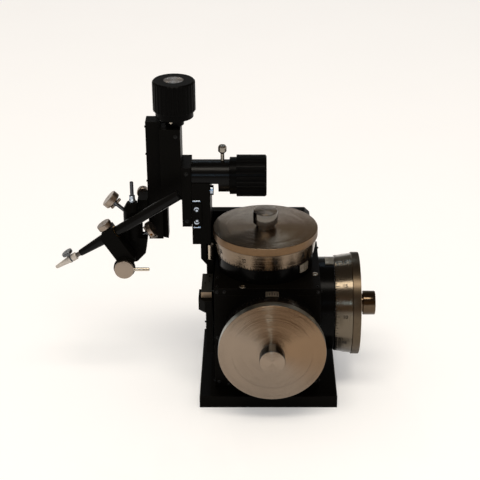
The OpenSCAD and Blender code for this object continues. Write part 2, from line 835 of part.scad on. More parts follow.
module y_stage_bar() {
    right = y_plate_right - 0.8;
    color(black) slab([right - bar_w, y_plate_front - 0.1, y_shelf_z],
        [right, y_step_y - seat_c, y_shelf_z + bar_h]);
}

module stop_block() {
    gap = seat_c;
    front = y_plate_front - 5.5;
    left = y_plate_left - 5.4;
    right = y_plate_right - 0.3;
    back = y_plate_front + 14.5;
    bevel = 5;
    height = 9.5;
    color(black) translate([0, 0, y_shelf_z - 0.2 - height]) linear_extrude(height) polygon([
        [right, front], [left + bevel, front], [left, front + bevel], [left, back],
        [y_plate_left - gap, back], [y_plate_left - gap, y_plate_front - gap],
        [right, y_plate_front - gap]]);
}

module spring_sleeve() {
    color(steel) translate([mid(y_plate_left, y_plate_right), y_step_y + sleeve_r + 0.5, sleeve_z])
        cylinder(r = sleeve_r, h = y_plate_top - sleeve_z);
}

module z_slider() {
    color(black) translate([0, 0, column_bottom - z_slider_h])
        linear_extrude(z_slider_h) z_slide_outline(0);
    color(steel) z_drive() push_pin(z_side, top_axis_x - y_plate_right + 2);
}

module column() {
    foot_left = foot_right - column_foot_t;
    color(black) difference() {
        union() {
            slab([column_left, column_front, column_bottom],
                [column_right, column_front + column_d, column_top]);
            translate([0, column_front + column_d, 0]) rotate([90, 0, 0])
                linear_extrude(column_d) polygon([
                    [foot_left, column_bottom + 1], [foot_right, column_bottom + 1],
                    [foot_right, column_foot_bottom],
                    [foot_left, column_foot_bottom + column_foot_chamfer]]);
        }
        // keyway in which the plunger's flat slides
        slab([column_left - 1, coarse_y - keyway_half, tube_z - plunger_flat - slide_c],
            [column_right + 1, coarse_y + keyway_half, column_top + 1]);
        end_plate_screws(small_bolt_r + seat_c, 7);
        saddle_screw(bolt_r + seat_c, 0);
        end_plate_dowels(dowel_r + seat_c);
    }
}

// End plate on the column's front, with two screws and two bright dowels
end_plate_t = 2.2;
end_plate_w = 7.3;
end_plate_z = [128.5, 147.4];
dowel_r = 0.75;
end_x = column_left + end_plate_w / 2;
module end_plate_screws(r, depth) {
    for (z = [end_plate_z[0] + 4.2, end_plate_z[1] - 4.2])
        translate([end_x, column_front + depth, z]) rotate([90, 0, 0])
            cylinder(r = r, h = depth + end_plate_t + 1);
}
module end_plate_dowels(r) {
    for (z = [end_plate_z[0] - 1.4, end_plate_z[1] + 1.4])
        translate([column_left + 0.8, column_front, z]) rotate([0, 90, 0])
            cylinder(r = r, h = end_plate_w - 1.8);
}
module saddle_screw(r, head) {
    z = tube_z - 8.4;
    translate([column_right - 6, column_front + 5, z]) rotate([0, 90, 0])
        cylinder(r = r, h = 6 + 1);
    if (head > 0) translate([column_right + seat_c, column_front + 5, z])
        rotate([0, 90, 0]) cylinder(r = head, h = 2.4);
}

module column_end_plate() {
    color(black) difference() {
        slab([column_left + 0.4, column_front - end_plate_t, end_plate_z[0]],
            [column_left + end_plate_w, column_front, end_plate_z[1]]);
        end_plate_screws(small_bolt_r + seat_c, 7);
    }
}

module column_screws() {
    head = 1.9;
    color(steel) {
        for (z = [end_plate_z[0] + 4.2, end_plate_z[1] - 4.2]) {
            translate([end_x, column_front + 6, z]) rotate([90, 0, 0])
                cylinder(r = small_bolt_r, h = 6 + end_plate_t + 0.2);
            translate([end_x, column_front - end_plate_t - seat_c, z]) rotate([90, 0, 0])
                cylinder(r = head, h = 0.7);
        }
        end_plate_dowels(dowel_r);
        saddle_screw(bolt_r, 3.8);
    }
}

// ---- coarse X slide -------------------------------------------------------
module coarse_x_tube() {
    color(black) difference() {
        translate([tube_left, coarse_y, tube_z]) rotate([0, 90, 0])
            cylinder(r = tube_r, h = tube_right - tube_left);
        slab([tube_left - 1, coarse_y - tube_r - 1, tube_z - tube_r - 1],
            [tube_step, coarse_y + tube_r + 1, column_top]);
        translate([tube_left - 1, coarse_y, tube_z]) rotate([0, 90, 0])
            cylinder(r = plunger_r + run_c, h = tube_right - tube_end_wall - tube_left + 1);
        translate([tube_left, coarse_y, tube_z]) rotate([0, 90, 0])
            cylinder(r = journal_r + run_c, h = tube_right - tube_left + 1);
        translate([tube_lock_x, coarse_y, tube_z + plunger_r - 0.5])
            cylinder(r = thumb_stem_r + run_c, h = tube_r);
    }
}

module tube_lock_screw() {
    head_z = tube_z + 18.7;
    color(steel) translate([tube_lock_x, coarse_y, 0]) {
        translate([0, 0, tube_z + plunger_r + 0.4])
            cylinder(r = thumb_stem_r, h = head_z - tube_z - plunger_r);
        translate([0, 0, head_z]) rotate_extrude() polygon([
            [0, 0], [1.9, 0], [tube_lock_r, 1.4], [tube_lock_r, 4.6],
            [2.4, 6], [0, 6.3]]);
    }
}

module coarse_x_plunger() {
    color(black) difference() {
        translate([hang_right, coarse_y, tube_z]) rotate([0, 90, 0])
            cylinder(r = plunger_r, h = plunger_l);
        slab([hang_right - 1, coarse_y - plunger_r, tube_z - plunger_r - 1],
            [tube_right, coarse_y + plunger_r, tube_z - plunger_flat]);
        translate([hang_right + 1, coarse_y, tube_z]) rotate([0, 90, 0])
            cylinder(r = lead_r + run_c, h = plunger_l);
    }
}

module coarse_x_screw() {
    start = hang_right + 2.5;
    color(steel) {
        translate([start, coarse_y, tube_z]) rotate([0, 90, 0])
            cylinder(r = lead_r, h = tube_right + 8 - start);
        translate([tube_right - tube_end_wall - 0.2, coarse_y, tube_z]) rotate([0, 90, 0])
            cylinder(r = journal_r, h = tube_end_wall + 8);
    }
}

// A coarse knob along +Z: collar first, then the fluted grip
module coarse_knob(bore, bore_h) {
    bevel = 1;
    difference() {
        union() {
            cylinder(r = coarse_collar_r, h = coarse_collar_l + 1);
            translate([0, 0, coarse_collar_l]) difference() {
                cylinder(r = coarse_knob_r, h = coarse_knob_l);
                for (i = [0:flutes - 1]) rotate([0, 0, i * 360 / flutes])
                    translate([coarse_knob_r + flute_r - flute_depth, 0, -1])
                        cylinder(r = flute_r, h = coarse_knob_l + 2, $fn = 24);
            }
        }
        translate([0, 0, coarse_collar_l + coarse_knob_l - bevel]) rotate_extrude() polygon([
            [coarse_knob_r, -0.01], [coarse_knob_r + 1, -0.01],
            [coarse_knob_r + 1, bevel + 0.01], [coarse_knob_r - bevel, bevel + 0.01]]);
        translate([0, 0, -1]) cylinder(r = bore, h = bore_h + 1);
    }
}

module coarse_x_knob() {
    color(black) translate([tube_right + 0.15, coarse_y, tube_z]) rotate([0, 90, 0])
        coarse_knob(journal_r + seat_c, 8);
}

module hanging_plate() {
    color(black) slab([hang_left, hang_front, hang_top - hang_h],
        [hang_right, hang_front + hang_d, hang_top]);
}

// ---- coarse Z slide -------------------------------------------------------
module tail_outline(c, extra) {
    dovetail(z_tail_neck + c, z_tail_head + c, z_tail_h, extra);
}

module coarse_z_body() {
    color(black) difference() {
        slab([z_body_left, z_body_front, z_body_bottom],
            [z_body_right, z_body_front + z_body_d, z_body_top]);
        translate([carriage_right, coarse_y, z_body_bottom - 1]) rotate([0, 0, -90])
            linear_extrude(z_body_h + 2) tail_outline(slide_c + 0.02, 0.3);
        slab([carriage_right + z_tail_h - 0.5, coarse_y - pocket_half, pocket_bottom],
            [z_axis_x + 3.6, coarse_y + pocket_half, pocket_top]);
        translate([z_axis_x, coarse_y, pocket_top - 1])
            cylinder(r = journal_r + run_c, h = 6);
        translate([z_axis_x, coarse_y, pocket_bottom - 6])
            cylinder(r = lead_r + run_c, h = 8);
    }
}

module coarse_z_screw() {
    color(steel) {
        translate([z_axis_x, coarse_y, pocket_bottom - 5])
            cylinder(r = lead_r, h = z_knob_z + 10 - pocket_bottom + 5);
        translate([z_axis_x, coarse_y, pocket_top + 0.2])
            cylinder(r = journal_r, h = z_knob_z + 10 - pocket_top - 0.2);
    }
}

module coarse_z_knob() {
    color(black) translate([z_axis_x, coarse_y, z_knob_z]) difference() {
        union() {
            coarse_knob(journal_r + seat_c, 10);
            translate([0, 0, -z_hub_h]) difference() {
                cylinder(r = 7, h = z_hub_h + 0.01);
                translate([0, 0, -1]) cylinder(r = journal_r + seat_c, h = z_hub_h + 2);
            }
        }
        translate([0, 0, coarse_collar_l + coarse_knob_l - inset_t])
            cylinder(r = inset_r + seat_c, h = 2);
    }
}

module knob_inset() {
    color(steel) translate([z_axis_x, coarse_y,
        z_knob_z + coarse_collar_l + coarse_knob_l - inset_t]) cylinder(r = inset_r, h = inset_t);
}

module carriage() {
    color(black) {
        slab([carriage_left, coarse_y - carriage_d / 2, carriage_bottom],
            [carriage_right, coarse_y + carriage_d / 2, carriage_top]);
        translate([carriage_right - 0.01, coarse_y, carriage_bottom]) rotate([0, 0, -90])
            linear_extrude(tail_top - carriage_bottom) tail_outline(0, 0);
        difference() {
            slab([carriage_right + z_tail_h - 0.5, coarse_y - nut_block_half,
                nut_block_top - nut_block_h],
                [z_axis_x + 3.2, coarse_y + nut_block_half, nut_block_top]);
            translate([z_axis_x, coarse_y, nut_block_top - nut_block_h - 1])
                cylinder(r = lead_r + run_c, h = nut_block_h + 2);
        }
    }
}

// ---- electrode holder -----------------------------------------------------
// A thumb screw along +Z: stem tip at z = 0, disc centre at z = reach
module thumb_screw(reach, r, cross) {
    cylinder(r = thumb_stem_r, h = reach);
    translate([0, 0, reach - disc_t / 2]) rotate_extrude() polygon([
        [0, 0], [r - 0.4, 0], [r, 0.4], [r, disc_t - 0.4], [r - 0.4, disc_t], [0, disc_t]]);
    if (cross > 0) translate([-cross_pin_l / 2, 0, cross]) rotate([0, 90, 0])
        cylinder(r = cross_pin_r, h = cross_pin_l);
}

swivel_lock_dir = 48.4;  // lean of the swivel lock from upright, to the left
swivel_lock_z = 137.3;   // height at which its axis meets the swivel axis
swivel_lock_tip = 4.3;   // distance of its tip from that point
swivel_lock_reach = 17.9;
swivel_lock_cross = 12.4;  // place of its cross pin along it
module swivel_lock_frame() {
    translate([swivel_x, 0, swivel_lock_z]) rotate([0, -swivel_lock_dir, 0]) children();
}

module clamp_bracket() {
    right = carriage_left - seat_c;
    step_x = swivel_x + 3.5;
    front = 4;
    color(black) difference() {
        union() {
            translate([swivel_x, 0, bracket_z])
                cylinder(r = swivel_head_r, h = bracket_h - head_cone_h);
            translate([swivel_x, 0, bracket_top - head_cone_h])
                cylinder(r1 = swivel_head_r, r2 = head_cone_r, h = head_cone_h);
            slab([swivel_x, 0, bracket_z], [step_x + 1, 10, bracket_top - head_cone_h]);
            slab([step_x, front, bracket_z], [right, 20, bracket_top]);
        }
        slab([step_x, -swivel_head_r - 1, bracket_z - 1], [right, front, bracket_top + 1]);
        translate([swivel_x, 0, bracket_z - 1]) cylinder(r = stud_r + run_c, h = bracket_h + 2);
        swivel_lock_frame() translate([0, 0, 1])
            cylinder(r = thumb_stem_r + run_c, h = swivel_lock_reach);
        carriage_lock_frame() cylinder(r = thumb_stem_r + run_c, h = 9);
    }
}

module carriage_lock_frame() {
    translate([carriage_left - 5, 12, bracket_top - 2.6]) rotate([-90, 0, 0]) children();
}
module carriage_lock() {
    color(steel) carriage_lock_frame() translate([0, 0, 0.5]) {
        cylinder(r = thumb_stem_r, h = 12);
        translate([0, 0, 9.5]) cylinder(r = 4.6, h = 5);
    }
}

module swivel_lock() {
    color(steel) swivel_lock_frame() translate([0, 0, swivel_lock_tip])
        thumb_screw(swivel_lock_reach, thumb_r, swivel_lock_cross);
}

module swivel_stud() {
    color(steel) translate([swivel_x, 0, 0]) {
        translate([0, 0, neck_top - 10]) cylinder(r = stud_r, h = bracket_top - neck_top + 10.2);
        translate([0, 0, bracket_top + 0.1]) cylinder(r = 2.45, h = 2.8);
        translate([0, 0, bracket_top + 2.8]) cylinder(r = 2.2, h = 2.8);
        translate([0, 0, bracket_top + 1]) cylinder(r = 1.4, h = stud_top - bracket_top - 1);
    }
}

// Frame of the holder rod: +Z runs up the rod, +X towards the tilt pivot
module rod_frame() {
    translate([rod_x, rod_y, rod_z]) rotate([0, 90 - rod_tilt, 0]) children();
}
// Frame of the tilt pivot: +Z points to the front
module tilt_frame() {
    x = rod_x - tilt_s * cos(rod_tilt) + tilt_n * sin(rod_tilt);
    z = rod_z - tilt_s * sin(rod_tilt) - tilt_n * cos(rod_tilt);
    translate([x, 0, z]) rotate([90, 0, 0]) children();
}

side_lock_reach = 11.6;
side_lock_cross = 8.9;   // place of its cross pin along it
module side_lock_frame() {
    translate([swivel_x + 3.6, 0, body_z + 0.1]) rotate([0, 90 - rod_tilt, 0]) children();
}

module swivel_body() {
    // outline seen from the front, heights from the body's datum
    outline = [[-9, -7], [-9, 6], [-5, 9.5], [3.5, 9.5], [3.5, 2], [9, 2],
        [10.6, -0.5], [9.2, -10.5], [2.5, -17.6], [-3, -18.5]];
    color(black) difference() {
        union() {
            translate([swivel_x, body_half_d, body_z]) rotate([90, 0, 0])
                linear_extrude(2 * body_half_d) polygon(outline);
            translate([swivel_x, 0, body_z]) cylinder(r = swivel_head_r, h = neck_top - body_z);
            tilt_frame() translate([0, 0, -body_half_d])
                cylinder(r = tilt_boss_r, h = body_half_d - boss_front);
        }
        translate([swivel_x, 0, neck_top - 10]) cylinder(r = stud_r + seat_c, h = 11);
        tilt_frame() translate([0, 0, -3.3]) cylinder(r = stud_r + run_c, h = 12);
        side_lock_frame() cylinder(r = thumb_stem_r + run_c, h = side_lock_reach);
    }
}

module side_lock() {
    color(steel) side_lock_frame() translate([0, 0, 0.3])
        thumb_screw(side_lock_reach, thumb_r, side_lock_cross);
}

module tilt_arm() {
    color(black) difference() {
        union() {
            rod_frame() translate([0, arm_t / 2, -arm_s]) rotate([90, 0, 0])
                linear_extrude(arm_t) polygon([
                    [-arm_top_n, arm_w / 2], [tilt_n, arm_w / 2], [tilt_n, -arm_w / 2],
                    [-arm_chamfer, -arm_w / 2], [-arm_top_n, -arm_w / 2 + arm_chamfer]]);
            tilt_frame() translate([0, 0, -arm_back]) cylinder(r = 6.6, h = arm_t);
            tilt_frame() translate([0, 0, -arm_front - 0.01]) cylinder(r = washer_r, h = washer_t);
        }
        rod_frame() translate([0, 0, -arm_s - arm_w]) cylinder(r = rod_bush_r + run_c, h = 2 * arm_w);
        tilt_frame() translate([0, 0, -arm_back - 1]) cylinder(r = stud_r + run_c, h = arm_t + 6);
        rod_frame() translate([-arm_top_n - 1, 0, -lock_s]) rotate([0, 90, 0])
            cylinder(r = thumb_stem_r + run_c, h = 4);
    }
}

module tilt_lock() {
    front = -arm_front + washer_t;
    color(steel) tilt_frame() {
        translate([0, 0, -3]) cylinder(r = stud_r, h = front + 3.5);
        translate([0, 0, front + 0.15]) rotate_extrude() polygon([
            [0, 0], [tilt_disc_r - 0.3, 0], [tilt_disc_r, 0.3],
            [tilt_disc_r, disc_t - 0.3], [tilt_disc_r - 0.3, disc_t], [0, disc_t]]);
        translate([0, 0, front + 0.15 + disc_t / 2]) rotate([0, 90, 0])
            cylinder(r = 1.35, h = 19.1);
    }
}

module rod_lock() {
    color(steel) rod_frame() translate([-rod_bush_r - 0.3, 0, -lock_s]) rotate([0, -90, 0])
        thumb_screw(lock_reach, small_thumb_r, 0);
}

module rod_bush() {
    length = arm_w - arm_chamfer;
    color(brass) rod_frame() translate([0, 0, -arm_s - arm_w / 2 + arm_chamfer]) difference() {
        cylinder(r = rod_bush_r, h = length);
        translate([0, 0, -1]) cylinder(r = rod_r + run_c, h = length + 2);
    }
}

module holder_rod() {
    color(black) rod_frame() {
        translate([0, 0, -nose_start]) cylinder(r = rod_r, h = nose_start + rod_up);
        translate([0, 0, -collar_s]) cylinder(r1 = nose_r, r2 = rod_r, h = nose_l);
    }
}

module chuck() {
    color(steel) rod_frame() difference() {
        union() {
            translate([0, 0, -head_s - 0.5]) cylinder(r = collar_r, h = collar_l + 0.5);
            translate([0, 0, -cone_s]) rotate_extrude() polygon([
                [0, 0], [chuck_head_r - 0.4, 0], [chuck_head_r, 0.4], [chuck_head_r, 2.2],
                [chuck_head_r - 0.5, 2.5], [chuck_head_r - 0.5, 3.1], [chuck_head_r, 3.4],
                [chuck_head_r, chuck_head_l - 0.5], [chuck_head_r - 0.5, chuck_head_l],
                [0, chuck_head_l]]);
            translate([0, 0, -tip_s]) cylinder(r1 = tip_r, r2 = chuck_head_r - 0.4, h = cone_l);
        }
        translate([0, 0, -tip_s - 1]) cylinder(r = capillary_r, h = capillary_l + 1);
        translate([0, 0, -chuck_screw_s]) rotate([0, -90, 0])
            cylinder(r = 1 + run_c, h = chuck_head_r + 1);
    }
}

module chuck_screw() {
    color(steel) rod_frame() translate([-capillary_r - 0.1, 0, -chuck_screw_s])
        rotate([0, -90, 0]) {
            cylinder(r = 1, h = 4);
            translate([0, 0, 3.4]) rotate_extrude() polygon([
                [0, 0], [4, 0], [4.3, 0.3], [4.3, 2], [4, 2.3], [0, 2.3]]);
        }
}

base_plate();
drive_housing();
front_plate();
top_plate();
housing_screws();
barrel_x();
barrel_y();
barrel_z();
index_plates();
spindle_bushes();
lever_pivots();
dial_x();
dial_y();
dial_z();
dial_knob_x();
dial_knob_y();
dial_knob_z();
spindle_x();
spindle_y();
spindle_z();
nut_x();
nut_y();
nut_z();
lever_x();
lever_y();
lever_z();
x_stage_plate();
y_guide_rods();
y_stage_plate();
y_stage_bar();
stop_block();
spring_sleeve();
z_slider();
column();
column_end_plate();
column_screws();
coarse_x_tube();
tube_lock_screw();
coarse_x_plunger();
coarse_x_screw();
coarse_x_knob();
hanging_plate();
coarse_z_body();
coarse_z_screw();
coarse_z_knob();
knob_inset();
carriage();
clamp_bracket();
carriage_lock();
swivel_lock();
swivel_stud();
swivel_body();
side_lock();
tilt_lock();
tilt_arm();
rod_lock();
rod_bush();
holder_rod();
chuck();
chuck_screw();
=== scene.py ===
"""The micromanipulator's finishes and fine detail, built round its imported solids."""
import math

import bmesh
import bpy
from mathutils import Matrix, Vector


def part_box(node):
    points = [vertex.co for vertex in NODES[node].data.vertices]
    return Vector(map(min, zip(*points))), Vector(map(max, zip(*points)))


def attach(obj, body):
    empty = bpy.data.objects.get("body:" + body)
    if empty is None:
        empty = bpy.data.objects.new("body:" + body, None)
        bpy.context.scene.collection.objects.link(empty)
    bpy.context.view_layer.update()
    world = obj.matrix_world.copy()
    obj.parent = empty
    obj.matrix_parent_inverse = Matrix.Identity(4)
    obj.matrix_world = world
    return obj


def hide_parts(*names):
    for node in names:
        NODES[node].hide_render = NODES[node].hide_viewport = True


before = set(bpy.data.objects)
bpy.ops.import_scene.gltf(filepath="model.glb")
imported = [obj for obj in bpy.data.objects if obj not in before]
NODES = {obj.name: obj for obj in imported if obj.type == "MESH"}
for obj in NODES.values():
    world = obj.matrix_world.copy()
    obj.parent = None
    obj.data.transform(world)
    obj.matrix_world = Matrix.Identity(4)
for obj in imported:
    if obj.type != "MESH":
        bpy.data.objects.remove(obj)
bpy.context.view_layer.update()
MM = 0.001

# ---- sizes taken over from the part, in millimetres -----------------------
DIAL_BACK = 12.0
RIM_START = 25.1
RIM_BEVEL = 0.5
DIAL_FACE = 31.6
SKIRT_IN, SKIRT_OUT, RIM_R = 37.2, 39.3, 40.0
KNOB_NECK_R, KNOB_NECK_H, KNOB_R, KNOB_H = 7.3, 3.5, 9.5, 13.4
DIVISIONS = 50
RIM_TEETH = 190
RIM_DEPTH = 0.22
SPINDLE_R = 4.3


def low(node):
    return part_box(node)[0] / MM


def high(node):
    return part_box(node)[1] / MM


def middle(node):
    return (low(node) + high(node)) / 2


def place(x, y, z, turns=()):
    """A frame in millimetres: moved to x, y, z, then turned about its own axes."""
    m = Matrix.Translation(Vector((x, y, z)) * MM)
    for degrees, axis in turns:
        m = m @ Matrix.Rotation(math.radians(degrees), 4, axis)
    return m


# The axes of the three dials. In each frame +Z points out of the block, and
# z = 0 is the block's face.
block_right = low("barrel_x").x
block_front = high("barrel_y").y
block_top = low("barrel_z").z
dial_x_mid, dial_y_mid, dial_z_mid = middle("dial_x"), middle("dial_y"), middle("dial_z")
DRIVES = {
    "x": place(block_right, dial_x_mid.y, dial_x_mid.z, [(90, "Y"), (90, "Z")]),
    "y": place(dial_y_mid.x, block_front, dial_y_mid.z, [(90, "X")]),
    "z": place(dial_z_mid.x, dial_z_mid.y, block_top, []),
}

# ---- shader values written as expressions ---------------------------------
NOISE_ROUGHNESS = 0.55
BEVEL_SAMPLES = 6


class Value:
    """A socket's value, so that shader maths reads as an expression."""

    def __init__(self, finish, socket):
        self.finish = finish
        self.socket = socket

    def maths(self, operation, *others):
        return self.finish.node("ShaderNodeMath", {"operation": operation},
                                [self, *others])

    def __add__(self, other):
        return self.maths("ADD", other)

    def __sub__(self, other):
        return self.maths("SUBTRACT", other)

    def __mul__(self, other):
        return self.maths("MULTIPLY", other)

    def __truediv__(self, other):
        return self.maths("DIVIDE", other)

    def __radd__(self, other):
        return self.finish.node("ShaderNodeMath", {"operation": "ADD"}, [other, self])

    def __rsub__(self, other):
        return self.finish.node("ShaderNodeMath", {"operation": "SUBTRACT"}, [other, self])

    def __rmul__(self, other):
        return self.finish.node("ShaderNodeMath", {"operation": "MULTIPLY"}, [other, self])

    def above(self, edge):
        return self.maths("GREATER_THAN", edge)

    def clamp(self):
        return self.finish.node("ShaderNodeClamp", {}, [self, 0.0, 1.0])


class Nodes:
    """Makes shader nodes in one tree."""

    def __init__(self, tree):
        self.tree = tree

    def node(self, kind, settings=None, inputs=(), output=0):
        """A new node, with its settings made and its inputs fed; gives one output."""
        made = self.tree.nodes.new(kind)
        for name, setting in (settings or {}).items():
            setattr(made, name, setting)
        pairs = inputs.items() if isinstance(inputs, dict) else enumerate(inputs)
        for key, given in pairs:
            self.put(made.inputs[key], given)
        return Value(self, made.outputs[output])

    def put(self, socket, given):
        """Links a value to a socket, or sets a constant on it."""
        if isinstance(given, Value):
            self.tree.links.new(given.socket, socket)
        elif isinstance(given, tuple) and len(given) == 3 and socket.type == "RGBA":
            socket.default_value = (*given, 1.0)
        else:
            socket.default_value = given

    def place(self):
        """The place on the piece, in metres."""
        return self.node("ShaderNodeTexCoord", output="Object")

    def step(self, value, start, end):
        """0 before start, 1 past end, and a smooth rise between them."""
        return self.node("ShaderNodeMapRange", {"interpolation_type": "SMOOTHSTEP"},
                         {"Value": value, "From Min": start, "From Max": end})

    def vector(self, operation, *inputs, output=0):
        return self.node("ShaderNodeVectorMath", {"operation": operation}, list(inputs),
                         output)

    def dot(self, a, b):
        return self.vector("DOT_PRODUCT", a, b, output="Value")

    def split(self, vector):
        made = self.tree.nodes.new("ShaderNodeSeparateXYZ")
        self.tree.links.new(vector.socket, made.inputs[0])
        return [Value(self, made.outputs[i]) for i in range(3)]

    def noise(self, scale, detail=3.0, stretch=None):
        """Cloudy chance from 0 to 1, about `scale` clouds to the metre."""
        at = self.place()
        if stretch:
            at = self.vector("MULTIPLY", at, stretch)
        return self.node("ShaderNodeTexNoise", {},
                         {"Vector": at, "Scale": scale, "Detail": detail,
                          "Roughness": NOISE_ROUGHNESS})

    def mix(self, share, a, b, blend="MIX"):
        """Colour a, with a share of colour b mixed in."""
        return self.node("ShaderNodeMix", {"data_type": "RGBA", "blend_type": blend},
                         {0: share, 6: a, 7: b}, output=2)

    def scaled(self, given, by):
        made = self.vector("SCALE", given)
        self.put(made.socket.node.inputs["Scale"], by)
        return made

    def rounded(self, radius):
        """The surface's normal with its sharp edges rounded by a radius in mm."""
        return self.node("ShaderNodeBevel", {"samples": BEVEL_SAMPLES},
                         {"Radius": radius * MM})

    def bump(self, height, depth, normal):
        """A normal roughened by a height, `depth` mm from its lowest to its highest."""
        return self.node("ShaderNodeBump", {}, {"Height": height, "Distance": depth * MM,
                                                "Strength": 1.0, "Normal": normal})


class Finish(Nodes):
    """A material, and the nodes that make it."""

    def __init__(self, name):
        self.material = bpy.data.materials.new(name)
        self.material.use_nodes = True
        super().__init__(self.material.node_tree)
        self.surface = self.tree.nodes["Principled BSDF"]

    def set(self, **values):
        """Feeds the surface's inputs by their short names."""
        names = {"colour": "Base Color", "rough": "Roughness", "metal": "Metallic",
                 "specular": "Specular IOR Level", "normal": "Normal"}
        for key, given in values.items():
            self.put(self.surface.inputs[names[key]], given)
        return self.material


BARE_METAL = (1.0, 0.86, 0.7)
# Painted shade: the dial faces are made darker and browner towards this side, in place of the
# darker reflections there.
PAINTED_SHADE_SIDE = (0.75, 0.0, 0.66)  # to the right and up
MARKS_FROM = 200.0  # mm added to a height, so that the marks' count stays above zero


def grooved(f, distance, along, spread, tail, bias, ring=0.03):
    """A normal that turning marks, `ring` mm wide, lean by chance along a vector."""
    marks = f.node("ShaderNodeTexWhiteNoise", {"noise_dimensions": "1D"},
                   {"W": (distance / ring).maths("FLOOR")})
    lean = marks * 2.0 - 1.0
    slope = lean * spread + lean * lean * lean * tail + bias
    world = f.node("ShaderNodeVectorTransform",
                   {"vector_type": "VECTOR", "convert_from": "OBJECT",
                    "convert_to": "WORLD"}, [f.scaled(along, slope)])
    flat = f.node("ShaderNodeNewGeometry", output="Normal")
    return f.vector("NORMALIZE", f.vector("ADD", flat, world))


def shaded(colour, share):
    """A colour made darker or lighter."""
    return tuple(share * c for c in colour)


def black_anodised(name, tone, rough, grain, edge=0.35, specular=0.03, worn_tone=0.012):
    """Bead-blasted, black anodised metal with a little wear on its edges."""
    f = Finish(name)
    rounded = f.rounded(edge)
    alike = f.dot(rounded, f.node("ShaderNodeNewGeometry", output="Normal"))
    worn = ((0.97 - alike) * 6.0 * f.noise(650, 4)).clamp()
    handled = f.noise(38, 4)
    tint = f.mix(handled, tone, shaded(tone, 1.8))
    colour = f.mix(worn, tint, shaded(BARE_METAL, worn_tone))
    roughness = rough - 0.05 + 0.1 * f.noise(160, 3)
    normal = f.bump(f.noise(grain, 2), 0.008, rounded)
    return f.set(colour=colour, rough=roughness, specular=specular, normal=normal)


def worn_colour(f, colour, stained=0.2):
    """The colour of handled metal: broad smears and a few small stains."""
    shade = f.mix(f.noise(42, 5), shaded(colour, 0.88), shaded(colour, 1.1))
    stain = ((f.noise(95, 3) - 0.64) * 7.0).clamp()
    return f.mix(stain * stained, shade, shaded(colour, 0.45))


def turned(name, colour, rough, centre, axis, spread, tail, bias, painted_shade=None):
    """Metal faced on a lathe: marks round an axis spread its reflections outward.

    Where a shade colour is given, the face is multiplied by it towards one side, to the right
    and up: painted shade standing in for the darker, browner reflections there."""
    f = Finish(name)
    at = f.vector("SUBTRACT", f.place(), shaded(centre, MM))
    out = f.vector("SUBTRACT", at, f.scaled(axis, f.dot(at, axis)))
    radius = f.vector("LENGTH", out, output="Value")
    way = f.vector("NORMALIZE", out)
    shade = worn_colour(f, colour)
    # Painted shade: darkens and browns the face towards the right and up, in place of
    # reflections.
    if painted_shade:
        shade = f.mix(f.step(f.dot(way, PAINTED_SHADE_SIDE), -0.35, 0.75), shade, painted_shade,
                      blend="MULTIPLY")
    return f.set(colour=shade, rough=rough - 0.03 + 0.06 * f.noise(260, 3), metal=1.0,
                 normal=grooved(f, radius / MM, way, spread, tail, bias))


def turned_side(name, colour, rough, centre, axis, spread=0.1, tail=0.1):
    """The side of a turned piece: its marks spread reflections along the axis."""
    f = Finish(name)
    at = f.vector("SUBTRACT", f.place(), shaded(centre, MM))
    along = f.dot(at, axis) / MM + MARKS_FROM
    return f.set(colour=worn_colour(f, colour), metal=1.0,
                 rough=rough - 0.03 + 0.06 * f.noise(260, 3),
                 normal=grooved(f, along, axis, spread, tail, 0.0))


def machined(name, colour, rough, metal=1.0, edge=0.15, streak=(1, 1, 1), scale=400,
             specular=0.5):
    """Plain machined or plated metal with faint streaks."""
    f = Finish(name)
    cloud = f.noise(scale, 4, stretch=streak)
    shade = f.mix(cloud, shaded(colour, 0.78), shaded(colour, 1.14))
    return f.set(colour=shade, rough=rough - 0.06 + 0.12 * f.noise(scale * 1.7, 3),
                 metal=metal, specular=specular, normal=f.bump(cloud, 0.006, f.rounded(edge)))


def bare_ends(name, colour, tone):
    """A black anodised bar whose ends were milled bare again."""
    f = Finish(name)
    facing = f.node("ShaderNodeTexCoord", output="Normal")
    end = f.split(facing)[1].maths("ABSOLUTE").above(0.7)
    lay = f.noise(900, 3, stretch=(1, 1, 0.08))
    bare = f.mix(lay, shaded(colour, 0.8), shaded(colour, 1.15))
    black = f.mix(f.noise(60, 4), tone, shaded(tone, 1.5))
    return f.set(colour=f.mix(end, black, bare), metal=end * 0.9,
                 rough=0.36 + 0.1 * f.noise(300, 3), specular=0.35,
                 normal=f.bump(lay, 0.006, f.rounded(0.25)))


SATIN = (0.29, 0.235, 0.19)
